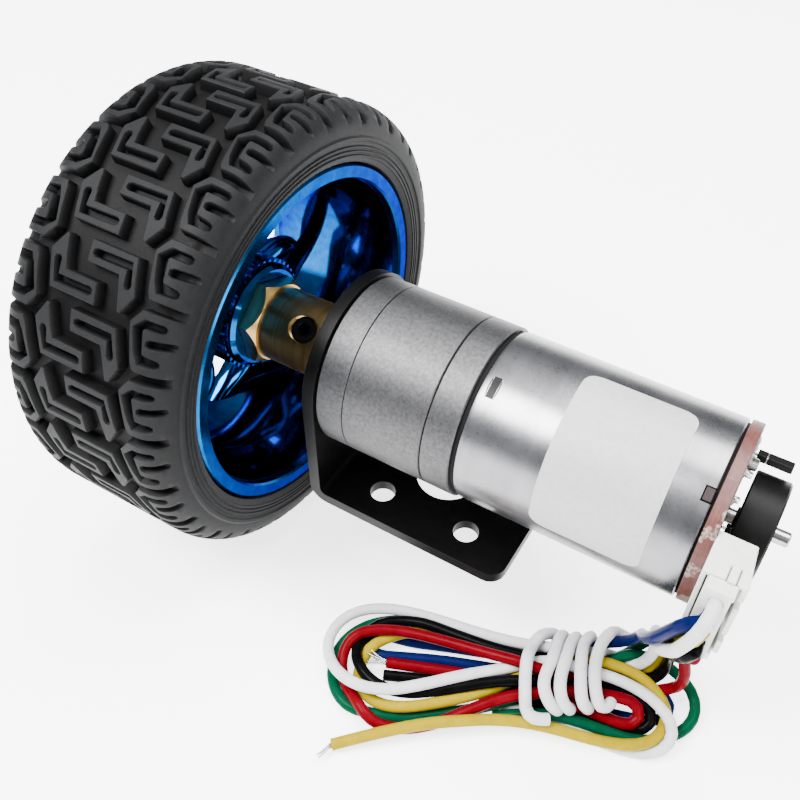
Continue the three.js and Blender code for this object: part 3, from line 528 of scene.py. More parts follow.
def resample(points, step):
    """A Catmull-Rom line through the points, cut into equal steps."""
    points = np.array(points, float)
    padded = np.vstack([2 * points[0] - points[1], points, 2 * points[-1] - points[-2]])
    line = []
    for a, b, c, d in zip(padded[:-3], padded[1:-2], padded[2:-1], padded[3:]):
        slope, bow, twist = c - a, 2 * a - 5 * b + 4 * c - d, 3 * b - a - 3 * c + d
        for t in np.linspace(0, 1, 12, endpoint=False):
            line.append(0.5 * (2 * b + slope * t + bow * t**2 + twist * t**3))
    line = np.array(line + [points[-1]])
    along = np.concatenate([[0], np.cumsum(np.linalg.norm(np.diff(line, axis=0), axis=1))])
    count = max(2, round(along[-1] / step)) + 1
    even = np.linspace(0, along[-1], count)
    return np.stack([np.interp(even, along, line[:, i]) for i in range(3)], axis=1)


def settle(lines, rounds):
    """Moves wires apart where they overlap. Keeps them smooth, above the floor and near their routes."""
    sizes = [len(line) for line in lines]
    starts = np.cumsum([0] + sizes)
    p = np.vstack(lines)
    home = p.copy()
    owner = np.repeat(np.arange(len(lines)), sizes)
    order = np.concatenate([np.arange(n) for n in sizes])
    fixed = order < HELD
    i, j = np.triu_indices(len(p), 1)
    apart = (owner[i] != owner[j]) | (np.abs(order[i] - order[j]) > OWN)
    i, j = i[apart], j[apart]
    for turn in range(rounds):
        if turn % LOOK == 0:
            near = np.linalg.norm(p[i] - p[j], axis=1) < NEAR
            ni, nj = i[near], j[near]
        gap = p[ni] - p[nj]
        distance = np.linalg.norm(gap, axis=1)
        push = np.clip(2 * WIRE_R + CLEAR - distance, 0, None)
        direction = gap / np.maximum(distance, 1e-6)[:, None]
        direction[distance < 1e-6] = (0, 0, 1)
        move = np.zeros_like(p)
        np.add.at(move, ni, PUSH * push[:, None] * direction)
        np.add.at(move, nj, -PUSH * push[:, None] * direction)
        p += move
        for s, n in zip(starts, sizes):
            line = p[s : s + n]
            bend = 0.5 * (line[:-2] + line[2:]) - line[1:-1]
            size = np.maximum(np.linalg.norm(bend, axis=1), 1e-6)
            sharp = bend * np.clip(1 - MOST_BEND / size, 0, None)[:, None]
            line[1:-1] += SMOOTH * bend + UNBEND * sharp
            line[:-2] -= UNBEND / 2 * sharp
            line[2:] -= UNBEND / 2 * sharp
            for _ in range(2):
                step = np.diff(line, axis=0)
                length = np.linalg.norm(step, axis=1)[:, None]
                pull = EVEN * (1 - STEP / np.maximum(length, 1e-6)) * step
                line[:-1] += pull
                line[1:] -= pull
        hank_pull = EARLY_PULL if turn < rounds * 0.7 else LATE_PULL
        p += np.where((order > FREE) & (order < LED), LED_PULL, hank_pull)[:, None] * (home - p)
        p[fixed] = home[fixed]
        p[:, 2] = np.maximum(p[:, 2], FLOOR + WIRE_R)
    return [p[s : s + n] for s, n in zip(starts, sizes)]


def wire_curve(name, points, radius, material):
    """A round cord along the points."""
    data = bpy.data.curves.new(name, "CURVE")
    data.dimensions = "3D"
    data.bevel_depth = radius / 1000
    data.bevel_resolution = 6
    data.use_fill_caps = True
    data.resolution_u = 4
    spline = data.splines.new("NURBS")
    spline.order_u = 4
    spline.use_endpoint_u = True
    spline.points.add(len(points) - 1)
    for control, point in zip(spline.points, points):
        control.co = (*row(point), 1)
    data.materials.append(MAT[material])
    piece = bpy.data.objects.new(name, data)
    bpy.context.scene.collection.objects.link(piece)
    return piece


STRAND_R = 0.13


def strands(name, tip, heading, count, length, spread):
    """Bare tinned strands that leave a cut end side by side."""
    pieces = []
    heading = Vector(heading).normalized()
    side = heading.cross(Vector((0, 0, 1))).normalized()
    rooted = 0.5  # inside the wire
    for k in range(count):
        place = k - (count - 1) / 2
        lean = spread * place / max(1, count - 1)
        offset = side * 0.16 * place + Vector((0, 0, 0.12 * ((k % 2) - 0.5)))
        base = Vector(tip) - heading * rooted + offset
        reach = length * (1 - 0.12 * (k % 3)) + rooted
        path = []
        for t in np.linspace(0, 1, 7):
            sway = 0.12 * math.sin(3 * t + k)
            path.append(tuple(base + heading * reach * t + side * (lean * t * t * length + sway * t)))
        pieces.append(wire_curve(f"{name}_{k + 1}", path, STRAND_R, "tinned"))
    return pieces


def lay_wires():
    """Each wire's settled points, from inside the plug to its cut end."""
    paths = {}
    for name, route in ROUTES.items():
        start = [(57, PLUG_FACE + 1.6, EXIT_Z[name]), (57, PLUG_FACE - 0.6, EXIT_Z[name])]
        paths[name] = resample(start + route, STEP)
    laid = settle(list(paths.values()), ROUNDS)
    return dict(zip(paths, laid))


# The tie's five turns, each from the near side up over the wires to the far side, as (x, y, least height).
TIE_TURNS = [
    [(43.6, -21.6, -33), (42.2, -22.6, -32.4), (40.6, -22.4, -31), (39, -20.1, -29), (37.8, -17.7, -28.2),
     (37.2, -15.2, -27.6), (37.2, -12.1, -28), (38.2, -9.8, -29), (39.3, -8.6, -30.5)],
    [(44.4, -19.6, -30.2), (43.4, -20.4, -28.8), (42, -19.9, -27.4), (40.9, -18.5, -26.8),
     (40.7, -16.2, -26.6), (40.5, -13.6, -27), (39.9, -10.4, -28), (40.2, -8.4, -29.3)],
    [(45.9, -18.7, -30), (44.7, -19.5, -28.3), (43.5, -18.6, -26.8), (42.7, -16.6, -26.3),
     (42.2, -13.5, -26.6), (41.7, -10.1, -27.8), (42, -7.6, -29.3)],
    [(48, -17.2, -30), (47.2, -18.2, -28.4), (46.3, -17.6, -27), (45.2, -15.5, -26.3), (44.1, -12.7, -26.6),
     (43.4, -9.4, -27.8), (43.8, -6.6, -29.3)],
    [(50.4, -15, -30), (49.8, -16.7, -29.4), (48.7, -16.9, -28), (47.5, -15.6, -26.7), (46.4, -13.3, -26.3),
     (45.8, -10.6, -26.6), (45.7, -7.6, -27), (46.6, -5.3, -28), (47.8, -4.8, -28.6), (49.1, -5.4, -29.6)],
]


# Between turns: how far along the way to the next turn, and the height there.
TIE_BACK = ((0.04, -31.6), (0.14, -32.8), (0.5, -33.1), (0.86, -32.8), (0.97, -31.6))
HANK_TOP = FLOOR + 9  # wires higher than this still hang from the plug
TIE_STEP = 0.7  # along the turns, before they are smoothed


def tie_path(wires):
    """The turns, lifted to clear the wires. Between turns the tie runs back under them."""
    cloud = np.vstack(list(wires.values()))
    cloud = cloud[cloud[:, 2] < HANK_TOP]
    reach = WIRE_R + TIE_R + 0.02
    path = []
    for number, turn in enumerate(TIE_TURNS):
        for x, y, least in resample(turn, TIE_STEP):
            flat = np.linalg.norm(cloud[:, :2] - (x, y), axis=1)
            near = flat < reach
            top = cloud[near, 2] + np.sqrt(reach**2 - flat[near] ** 2)
            path.append([x, y, max(least, top.max() if near.any() else FLOOR + TIE_R)])
        if number + 1 < len(TIE_TURNS):
            here, there = np.array(turn[-1][:2]), np.array(TIE_TURNS[number + 1][0][:2])
            for share, height in TIE_BACK:
                path.append([*(here + (there - here) * share), height])
    path = np.array(path)
    for _ in range(3):
        path[1:-1] = 0.25 * path[:-2] + 0.5 * path[1:-1] + 0.25 * path[2:]
    path[:, 2] = np.maximum(path[:, 2], FLOOR + TIE_R)
    return resample(path, 1.0)


def add_cords():
    wires = lay_wires()
    tie = tie_path(wires)
    for name, points in wires.items():
        piece = keep(wire_curve("wire_" + name, points, WIRE_R, name), "gearmotor", "wire")
        ends = []
        if name == "yellow":
            ends = strands("yellow_strand", points[-1], (-0.25, -0.95, 0.1), 4, 2.6, 0.02)
        if name == "red":
            ends = strands("red_strand", points[-1], (-0.93, -0.35, 0.25), 5, 3.2, 0.6)
        for end in ends:
            keep(end, "gearmotor", "steel")
        if name == "white":
            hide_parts("lead_bundle", "wire_hank")
        if name == "yellow":
            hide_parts("wire_tail")
    piece = keep(wire_curve("tie", tie, TIE_R, "white"), "gearmotor", "wire")


add_cords()


# ---- tyre --------------------------------------------------------------------------------------------------
TYRE_X = -21.6
TYRE_R = 34.0
PITCHES = 24
PITCH = 2 * math.pi * TYRE_R / PITCHES
TREAD_PHASE = 121.9
CROWN = 9.0
CORNER = 4.5
EDGE = 15.5
DEPTH = 1.55
FADE_END, FADE = 14.4, 1.7  # where the grooves have run out on the shoulder, and over how far
COLUMNS = 12  # of the side walls in a pitch
SEAM_ROWS = 41
GRID_S, GRID_V = 1.1, 0.72  # the grid of points between the outlines
GRID_CLEAR = 0.32  # how near an outline no grid point may be

# One pitch of the tread in (s, v): s runs round the wheel, v across it. Each outline also appears turned by
# half a turn.
HOOK = [(-3.75, -1.65), (-3.73, 5.65), (0.85, 7.0), (3.3, 5.5), (3.2, 4.95), (0.6, 4.25), (-0.92, 3.7),
        (-0.95, -1.25)]
SHOULDER = [(-7.3, 17), (-7.3, 8.6), (-5.4, 7.2), (-0.5, 8.4), (0.3, 8.9), (0.35, 17)]
HOOK_SLOT = [(-2.3, -0.35), (-2.4, 4.9), (-0.1, 5.45)]
SHOULDER_U = [(-5.78, 11.9), (-5.73, 9.4), (-4.93, 8.6), (-2.13, 9.35), (-1.38, 9.8), (-1.33, 11.9)]
SHOULDER_SLOT = [(-3.58, 10.6), (-3.93, 13.8)]
SLOTS = [(HOOK_SLOT, 1.0), (SHOULDER_U, 1.05), (SHOULDER_SLOT, 1.05)]  # each with its width
SLOT_SHARE = 0.85  # of the tread's depth
# Nested outlines at a block's and a slot's edge: how far out or how much wider, and the share of the depth.
BLOCK_EDGE = ((0.12, 1.0), (-0.03, 0.08), (-0.15, 0.0))
SLOT_EDGE = ((0.2, 0.0), (0.0, 0.08), (-0.28, SLOT_SHARE))


def corner_profile():
    """The tread's section past the crown: distance along it, offset from the centre and radius."""
    rows = []
    steps, power = 40, 0.8
    for k in range(steps + 1):
        angle = math.pi / 2 * k / steps
        offset = math.sin(angle) ** power
        drop = math.cos(angle) ** power
        rows.append((CROWN + CORNER * offset, TYRE_R - CORNER + CORNER * drop))
    rows = np.array(rows)
    along = CROWN + np.concatenate([[0], np.cumsum(np.linalg.norm(np.diff(rows, axis=0), axis=1))])
    return along, rows[:, 0], rows[:, 1]


CORNER_V, CORNER_T, CORNER_R = corner_profile()


def corner_at(v):
    return float(np.interp(v, CORNER_V, CORNER_T)), float(np.interp(v, CORNER_V, CORNER_R))


def tread_point(s, v, height):
    """The point at s round the tread and v across it, height above (+) or below (-) the tread's surface."""
    side = -1 if v < 0 else 1
    v = abs(v)
    t, radius, nt, nr = v, TYRE_R, 0.0, 1.0
    if v > CROWN:
        t, radius = corner_at(v)
        ahead, behind = corner_at(v + 0.05), corner_at(v - 0.05)
        dt, dr = ahead[0] - behind[0], ahead[1] - behind[1]
        size = math.hypot(dt, dr) or 1.0
        nt, nr = -dr / size, dt / size
    radius += height * nr
    return (TYRE_X + side * (t + height * nt), *polar(radius, TREAD_PHASE + math.degrees(s / TYRE_R)))


def offset_outline(points, amount):
    """The closed outline moved outwards by amount (inwards if negative), with mitred corners."""
    p = np.array(points, float)
    area = 0.5 * np.sum(p[:, 0] * np.roll(p[:, 1], -1) - np.roll(p[:, 0], -1) * p[:, 1])
    if area < 0:
        p = p[::-1]
    before = p - np.roll(p, 1, axis=0)
    after = np.roll(p, -1, axis=0) - p
    n1 = np.stack([before[:, 1], -before[:, 0]], axis=1) / np.linalg.norm(before, axis=1)[:, None]
    n2 = np.stack([after[:, 1], -after[:, 0]], axis=1) / np.linalg.norm(after, axis=1)[:, None]
    middle = n1 + n2
    scale = 2 / np.maximum(np.sum(middle * middle, axis=1), 0.8)
    return p + amount * middle * scale[:, None]


def slot_tip(end, before, sides, width):
    """Two points past a slot's end, drawn in from its sides."""
    ahead = (end - before) / np.linalg.norm(end - before)
    return [end + (side - end) * 0.5 + ahead * width * 0.4 for side in sides]


def slot_outline(line, width):
    """A slot of that width along a line, with slightly cut corners at its ends."""
    p = np.array(line, float)
    left, right = [], []
    for k in range(len(p)):
        ahead = p[min(k + 1, len(p) - 1)] - p[max(k - 1, 0)]
        ahead /= np.linalg.norm(ahead)
        normal = np.array((-ahead[1], ahead[0]))
        if 0 < k < len(p) - 1:
            one = (p[k] - p[k - 1]) / np.linalg.norm(p[k] - p[k - 1])
            normal = normal / max(0.5, abs(normal @ np.array((-one[1], one[0]))))
        left.append(p[k] + normal * width / 2)
        right.append(p[k] - normal * width / 2)
    start = slot_tip(p[0], p[1], (left[0], right[0]), width)
    finish = slot_tip(p[-1], p[-2], (left[-1], right[-1]), width)
    return [start[0], *left, *finish, *reversed(right), start[1]]


def placed(outline, flip, pitches):
    """An outline turned half round or not (flip -1 or 1) and moved along by a number of pitches."""
    return np.array(outline, float) * flip + np.array((pitches * PITCH, 0.0))


def divided(outline):
    """The outline with its long edges divided, so that it follows the tread round its curves."""
    points = []
    for a, b in zip(outline, np.roll(outline, -1, axis=0)):
        longest = 0.7 if max(abs(a[1]), abs(b[1])) > CROWN - 0.5 else 1.3
        steps = max(1, math.ceil(np.linalg.norm(b - a) / longest))
        points += [a + (b - a) * k / steps for k in range(steps)]
    return np.array(points)


def tread_contours():
    """Each block's and slot's nested outlines in (s, v), with the share of the tread's depth at each."""
    found = []
    for k in range(PITCHES):
        for flip in (1, -1):
            for outline in (HOOK, SHOULDER):
                for amount, depth in BLOCK_EDGE:
                    found.append((divided(placed(offset_outline(outline, amount), flip, k)), depth))
            for line, width in SLOTS:
                for amount, depth in SLOT_EDGE:
                    found.append((divided(placed(slot_outline(line, width + amount), flip, k)), depth))
    return found


def tread_depth(v):
    """The grooves run out on the shoulder."""
    return DEPTH * min(1.0, max(0.0, (FADE_END - abs(v)) / FADE))


def inside(points, outline):
    """Which points lie in the outline."""
    x, y = points[:, 0], points[:, 1]
    a = np.asarray(outline)
    b = np.roll(a, -1, axis=0)
    result = np.zeros(len(points), bool)
    for (x0, y0), (x1, y1) in zip(a, b):
        crosses = ((y0 > y) != (y1 > y)) & (x < (x1 - x0) * (y - y0) / ((y1 - y0) or 1e-12) + x0)
        result ^= crosses
    return result


def share_at(points):
    """The share of the depth at points within one pitch, from the blocks' and slots' outlines."""
    share = np.ones(len(points))
    everywhere = [(flip, pitches) for flip in (1, -1) for pitches in (-2, -1, 0, 1, 2)]
    for flip, pitches in everywhere:
        for outline in (HOOK, SHOULDER):
            share[inside(points, placed(outline, flip, pitches))] = 0.0
    for flip, pitches in everywhere:
        for line, width in SLOTS:
            share[inside(points, placed(slot_outline(line, width), flip, pitches))] = SLOT_SHARE
    return share


def near_contour(points, outlines, distance):
    """Which points lie close to an outline, so that no thin triangle is made there."""
    close = np.zeros(len(points), bool)
    for outline in outlines:
        a = np.asarray(outline)
        b = np.roll(a, -1, axis=0)
        for p0, p1 in zip(a, b):
            d = p1 - p0
            t = np.clip(((points - p0) @ d) / max(d @ d, 1e-12), 0, 1)
            close |= np.linalg.norm(points - (p0 + t[:, None] * d), axis=1) < distance
    return close


def add_tyre():
    """The tread is meshed flat, round its outlines, then wrapped; the side walls are turned."""
    around = 2 * math.pi * TYRE_R
    columns = PITCHES * COLUMNS
    vertices, heights, edges = [], [], []

    def put(point, share):
        vertices.append((float(point[0]), float(point[1])))
        heights.append(share)
        return len(vertices) - 1

    # the tread's two edges, the outlines (again past the seam) and the seam's two lines
    rims = []
    for v in (-EDGE, EDGE):
        rims.append([put((around * k / columns, v), 0.0) for k in range(columns + 1)])
    for line in rims:
        edges += list(zip(line[:-1], line[1:]))
    seam_rows = np.linspace(-EDGE, EDGE, SEAM_ROWS)
    for outline, share in tread_contours():
        outline[:, 1] = np.clip(outline[:, 1], -EDGE + 0.02, EDGE - 0.02)
        for shift in (0, -around, around):
            moved = outline + np.array((shift, 0.0))
            if moved[:, 0].max() < -1e-6 or moved[:, 0].min() > around + 1e-6:
                continue
            ids = [put(point, share) for point in moved]
            edges += list(zip(ids, ids[1:] + ids[:1]))
    for s in (0.0, around):
        line = [put((s, v), -1.0) for v in seam_rows[1:-1]]
        end = 0 if s == 0.0 else columns
        chain = [rims[0][end], *line, rims[1][end]]
        edges += list(zip(chain[:-1], chain[1:]))
    # a grid of points between the outlines
    pitch_outlines = []
    for flip in (1, -1):
        for pitches in (-1, 0, 1, 2):
            pitch_outlines += [placed(outline, flip, pitches) for outline in (HOOK, SHOULDER)]
            pitch_outlines += [placed(slot_outline(*slot), flip, pitches) for slot in SLOTS]
    across = np.arange(-EDGE + 0.55, EDGE - 0.4, GRID_V)
    grid = np.array([(s, v) for s in np.arange(0.35, PITCH, GRID_S) for v in across])
    grid = grid[~near_contour(grid, pitch_outlines, GRID_CLEAR)]
    grid_share = share_at(grid)
    for k in range(PITCHES):
        for (s, v), share in zip(grid, grid_share):
            put((s + k * PITCH, v), share)
    # the flat mesh, with each point's share of the depth; -1 marks the seam's, which share_at gives
    result = delaunay_2d_cdt([Vector(v) for v in vertices], edges, [], 0, 1e-5)
    points, faces, origins = result[0], result[2], result[3]
    flat = np.array([(p.x, p.y) for p in points])
    share = np.full(len(points), -1.0)
    for index, sources in enumerate(origins):
        known = [heights[o] for o in sources if heights[o] >= 0]
        if known:
            share[index] = min(known)
    unknown = np.where(share < 0)[0]
    if len(unknown):
        folded = flat[unknown].copy()
        folded[:, 0] = np.mod(folded[:, 0], PITCH)
        share[unknown] = share_at(folded)
    solid = [tread_point(x, v, -tread_depth(v) * h) for (x, v), h in zip(flat, share)]
    groove = [h * tread_depth(v) / DEPTH for (_, v), h in zip(flat, share)]
    inner = (flat[:, 0] > -1e-4) & (flat[:, 0] < around + 1e-4)
    faces = [tuple(f) for f in faces if all(inner[i] for i in f)]
    # the side walls, and the strip inside that joins them
    base = len(solid)
    wall = sidewall_profile()
    for side in (-1, 1):
        for k in range(columns):
            for t, radius in wall:
                solid.append((TYRE_X + side * t, *polar(radius, TREAD_PHASE + 360 * k / columns)))
    rows = len(wall)
    for side in (0, 1):
        offset = base + side * columns * rows
        for k in range(columns):
            here, there = offset + k * rows, offset + (k + 1) % columns * rows
            for i in range(rows - 1):
                faces.append((here + i, here + i + 1, there + i + 1, there + i))
    left, right = base + rows - 1, base + columns * rows + rows - 1
    for k in range(columns):
        here, there = k * rows, (k + 1) % columns * rows
        faces.append((left + here, right + here, right + there, left + there))
    groove += [0.0] * (len(solid) - len(groove))
    tyre = new_object("tyre_tread", solid, faces, "rubber", sharp=38, groove=groove)
    return keep(tyre, "output", "tyre_rubber", "tyre")


def sidewall_profile():
    """From the tread's edge in to the bead, with moulded rings, and round to the inside."""
    x, _, _ = tread_point(0, EDGE, 0)
    start_t = x - TYRE_X
    start_r = float(np.interp(EDGE, CORNER_V, CORNER_R))
    rows = [(start_t, start_r), (13.5, start_r - 0.35), (13.75, start_r - 0.6), (13.75, start_r - 1.0),
            (13.5, start_r - 1.2)]
    for radius in (28.4, 27.8, 27.2):
        rows += [(13.42, radius + 0.24), (13.6, radius + 0.14), (13.6, radius - 0.06), (13.42, radius - 0.16)]
    rows += [(13.3, 26.75), (13.0, 26.3), (12.2, 26.12), (11.2, 26.12), (10.9, 25.2)]
    return rows


add_tyre()


# ---- rim ---------------------------------------------------------------------------------------------------
SCREW_ANGLE = 128  # of the set screw, over the middle of one of the hexagon's flats


def hexagon(across_flats):
    return [polar(across_flats / math.sqrt(3), SCREW_ANGLE + 30 + 60 * k) for k in range(6)]
def rim_barrel():
    """The bead seats and the polished inside."""
    profile = [
        (-33.3, 24.9), (-10.0, 24.9), (-10.0, 23.75), (-14, 22.9), (-27, 22.2), (-30.4, 22.6), (-33.3, 23.7),
    ]
    return lathe("rim_barrel", profile, "blue_chrome", 192, sharp=28)


def rim_flange(name, start, out):
    """A flange with rounded edges. It starts at x = start and faces outwards (out is -1 or 1)."""
    profile = [(0.0, 23.8), (1.1, 23.85), (1.4, 24.1), (1.4, 25.7), (1.1, 26), (0.4, 26), (-0.1, 25.6),
               (-0.4, 24.9)]
    placed_profile = [(start + out * x, radius) for x, radius in profile]
    # The flanges take the darker copy of the blue chrome, painted shade against the bright light that they
    # mirror.
    return lathe(name, placed_profile, "flange_chrome_painted_darker", 192, sharp=28)


def twisted_spoke(index):
    """A spoke that curls round the hub and twists on its way out to the barrel."""
    vertices = []
    rings, sides = 22, 16
    first, last, thick = 6.5, 23.0, 1.7
    for k in range(rings):
        t = k / (rings - 1)
        arch = math.sin(math.pi * t)
        angle = 30 + 60 * index + 34 * arch * (1 - 0.35 * t)
        centre_x = -29.6 + 1.9 * arch - 0.6 * t
        width = 3.9 - 1.3 * arch + 1.3 * t
        twist = math.radians(58 * arch)
        y, z = polar(first + (last - first) * t, angle)
        across = Vector((0, -math.sin(math.radians(angle)), math.cos(math.radians(angle))))
        deep = Vector((1, 0, 0))
        one = across * math.cos(twist) + deep * math.sin(twist)
        two = deep * math.cos(twist) - across * math.sin(twist)
        for m in range(sides):
            c, s = polar(1, 360 * m / sides)
            u = width * math.copysign(abs(c) ** 0.7, c)
            w = thick * math.copysign(abs(s) ** 0.7, s)
            vertices.append(Vector((centre_x, y, z)) + one * u + two * w)
    faces = ring_faces(sides, rings) + [tuple(reversed(f)) for f in end_faces(sides, rings)]
    return new_object(f"rim_spoke_{index + 1}", vertices, faces, "blue_chrome", sharp=50)


def rim_hub():
    """The hub's plain barrel and bevelled collar, with the hexagon's seat and the screw's holes."""
    hub = lathe("rim_hub", [
        (-31.6, 0), (-31.6, 7.4), (-31.2, 8.2), (-28, 8.3), (-18.6, 8.0), (-18.4, 8.2), (-18.1, 8.1),
        (-17.6, 7.5), (-17.6, 0),
    ], "blue_chrome", 96, sharp=30)
    cut(hub, [prism("seat", hexagon(12.15), -22.2, -16, "steel"), rod("shaft_hole", 2.1, -40, -16),
              rod("head_hole", 4.5, -40, -25.2)])
    return dress(hub, "blue_chrome", 30)


def rim_ribs():
    """A ring of ribs round the hub: four points to a rib, two high and two low."""
    ribs = 40
    outline = [polar(8.75 if k % 4 in (1, 2) else 8.05, 90 * k / ribs) for k in range(4 * ribs)]
    inner = [polar(7.6, 90 * k / ribs) for k in range(4 * ribs)]
    count = len(outline)
    vertices = [(x, *p) for x in (-27.4, -18.7) for ring in (outline, inner) for p in ring]
    faces = []
    for k in range(count):
        n = (k + 1) % count
        faces += [(k, n, 2 * count + n, 2 * count + k), (count + k, 3 * count + k, 3 * count + n, count + n),
                  (k, count + k, count + n, n), (2 * count + k, 2 * count + n, 3 * count + n, 3 * count + k)]
    return new_object("rim_ribs", vertices, faces, "blue_chrome", sharp=30)


keep(rim_barrel(), "output", "blue_chrome", "wheel_rim")
keep(rim_flange("rim_flange_inner", -10.0, 1), "output", "blue_chrome")
keep(rim_flange("rim_flange_outer", -33.2, -1), "output", "blue_chrome")
keep(rim_hub(), "output", "blue_chrome")
keep(rim_ribs(), "output", "blue_chrome")
for spoke_index in range(6):
    keep(twisted_spoke(spoke_index), "output", "blue_chrome")


# ---- coupling and set screw --------------------------------------------------------------------------------
SCREW_X = -8.1


def radial_piece(name, steps, segments=40):
    """A piece turned about the set screw's axis, from (radius, height) steps. Six segments make a hexagon."""
    out = Vector((0, *polar(1, SCREW_ANGLE)))
    side = out.cross(Vector((1, 0, 0)))
    vertices = []
    for radius, height in steps:
        for a, b in circle(radius, segments):
            vertices.append(Vector((SCREW_X, 0, 0)) + out * height + Vector((1, 0, 0)) * a + side * b)
    faces = end_faces(segments, len(steps)) + ring_faces(segments, len(steps))
    return new_object(name, vertices, faces, "steel")


def coupling():
    piece = prism("hex_coupling_body", hexagon(12), -22.1, -15.1, "brass")
    chamfer = [(-22.3, 0), (-22.3, 6.5), (-21.6, 7.2), (-16.6, 7.2), (-15.1, 6.0), (-15.0, 0)]
    cut(piece, [lathe("cone", chamfer, "brass", 96)], "INTERSECT")
    barrel = lathe("barrel", [(-16, 0), (-16, 5.7), (-4.4, 5.7), (-4.1, 5.4), (-4.1, 0)], "brass", 128)
    cut(piece, [barrel], "UNION")
    cut(piece, [rod("bore", 2.05, -23, -3)])
    cut(piece, [radial_piece("hole", [(1.98, 0.5), (1.98, 5.3), (2.75, 6.1)])])
    return dress(piece, "brass", 30)


def set_screw():
    piece = radial_piece("set_screw_body", [(1.9, 1.6), (1.9, 4.9), (1.7, 5.15)])
    cut(piece, [radial_piece("socket", [(1.05, 3.4), (1.05, 7)], segments=6)])
    return dress(piece, "black_steel", 30)


keep(coupling(), "output", "brass", "hex_coupling")
keep(set_screw(), "output", "black_steel", "set_screw")


# ---- bracket -----------------------------------------------------------------------------------------------
def bracket():
    """A bent sheet, rounded at the top from the front and at two corners from above."""
    thick, half, end, bottom = 1.8, 13.0, 30.1, -19.1
    bend, inner_bend, corner = 2.8, 1.0, 2.5
    section = [(-thick, half), *arc((bend - thick, bottom + bend), bend, 180, 270, 12), (end, bottom),
               (end, bottom + thick),
               *arc((inner_bend, bottom + thick + inner_bend), inner_bend, 270, 180, 8), (0, half)]
    piece = prism("bracket_sheet", section, -half, half, "black_paint", "y")
    front = [(half, bottom - 1), *arc((0, 0), half, 0, 180, 96), (-half, bottom - 1)]
    cut(piece, [prism("front", front, -thick - 1, end + 1, "steel")], "INTERSECT")
    plan = [(-thick - 1, -half), *arc((end - corner, -half + corner), corner, -90, 0, 12),
            *arc((end - corner, half - corner), corner, 0, 90, 12), (-thick - 1, half)]
    cut(piece, [prism("plan", plan, bottom - 1, half + 1, "steel", "z")], "INTERSECT")
    tools = []
    for x in (7.9, 22.2):
        for y in (-7.9, 7.9):
            tools.append(rod("foot_hole", 1.9, bottom - 2, bottom + 4, (x, y), "z", 64))
    tools += [rod("window", 4.8, bottom - 2, bottom + 4, (14.75, 0), "z", 64), rod("boss", 3.8, -3, 1)]
    tools += [rod("screw_hole", 1.7, -3, 1, (y, 0)) for y in (8.5, -8.5)]
    cut(piece, tools)
    return dress(piece, "black_paint", 30, bevel=0.22, segments=3)


keep(bracket(), "gearmotor", "painted_black", "bracket")


# ---- gearbox and motor can ---------------------------------------------------------------------------------
CAN_R = 12.22
LUG_ANGLES = (125.5, 305.5)  # of the end cap's lugs and their notches in the can
GEARBOX = {
    "gearbox_front": [
        (-2.5, 2.6), (-2.5, 3.3), (-2.3, 3.5), (0, 3.5), (0, 12.2), (0.3, 12.5), (4.26, 12.5), (4.3, 12.46),
        (4.3, 11.3), (2.6, 11.3), (2.6, 2.6),
    ],
    "gearbox_barrel": [(4.42, 11.3), (4.42, 12.4), (4.48, 12.5), (16.3, 12.5), (16.42, 12.38), (16.42, 11.3)],
    "gearbox_rear": [
        (16.56, 11.3), (16.56, 12.38), (16.68, 12.5), (20.7, 12.5), (20.86, 12.34), (20.86, 3.6), (17.6, 3.6),
        (17.6, 11.3),
    ],
}
# Rings of painted shade in the gaps between the shells and the can: from x, to x, and radius.
SEAMS = ((4.2, 4.5, 12.36), (16.3, 16.7, 12.28), (20.75, 21.6, 12.0))


def gearbox():
    """Three shells, and dark rings of painted shade in the gaps behind them."""
    for node, profile in GEARBOX.items():
        keep(lathe(node + "_shell", profile, "zinc", 192), "gearmotor", "zinc", node)
    for k, (x0, x1, radius) in enumerate(SEAMS):
        profile = [(x0, 11.35), (x0, radius), (x1, radius), (x1, 11.35)]
        keep(lathe(f"seam_{k + 1}", profile, "gap_painted_shade", 128), "gearmotor", "painted_black")


def can():
    piece = lathe("can_shell", [
        (19.6, 2.2), (19.6, 3.4), (21.1, 3.4), (21.1, 11.3), (21.25, 11.75), (21.6, 12.1), (22.1, CAN_R),
        (52.15, CAN_R), (52.3, 12.1), (52.3, 11.3), (22.5, 11.3), (22.5, 2.2)], "can", 192)
    cut(piece, [block("notch", (51.0, 54), (9, 14), (-1, 1), "steel", turn=angle) for angle in LUG_ANGLES])
    return dress(piece, "can", 30)


gearbox()
keep(can(), "gearmotor", "can_steel", "motor_can")


MARK_STEPS = 12  # round the can


def mark_strip(name, material, section, sharp=32):
    """A strip round the can. section(t) gives its three (x, radius) points at t, from 0 to 1 along it."""
    vertices, faces = [], []
    for k in range(MARK_STEPS + 1):
        for x, radius in section(k / MARK_STEPS):
            vertices.append((x, *polar(radius, 110 + 14 * k / MARK_STEPS)))
    for k in range(MARK_STEPS):
        for m in (3 * k, 3 * k + 1):
            faces.append((m, m + 1, m + 4, m + 3))
    return new_object(name, vertices, faces, material, sharp)


def lip(x, side):
    """The section of a raised lip, which swells towards the mark's middle."""
    half = 0.12

    def section(t):
        swell = math.sin(math.pi * t)
        middle = x + side * half * swell
        foot = CAN_R - 0.05
        return [(middle - half, foot), (middle, CAN_R + 0.10 * swell + 0.02), (middle + half, foot)]

    return section


def stamped_mark():
    """The pressed mark near the can's front: raised lips either side of a dark strip, painted shade for the
    shallow channel.
    """
    return [
        mark_strip("mark_lip_1", "can", lip(22.55, -1), 70),
        mark_strip("mark_lip_3", "can", lip(23.7, 1), 70),
        # Painted shade: the dark strip stands for the shadow in the channel between the lips.
        mark_strip("mark_floor_shade", "black_steel", lambda t: [(x, CAN_R + 0.015) for x in (22.6, 23.12, 23.65)]),
    ]


for piece in stamped_mark():
    keep(piece, "gearmotor", "can_steel")


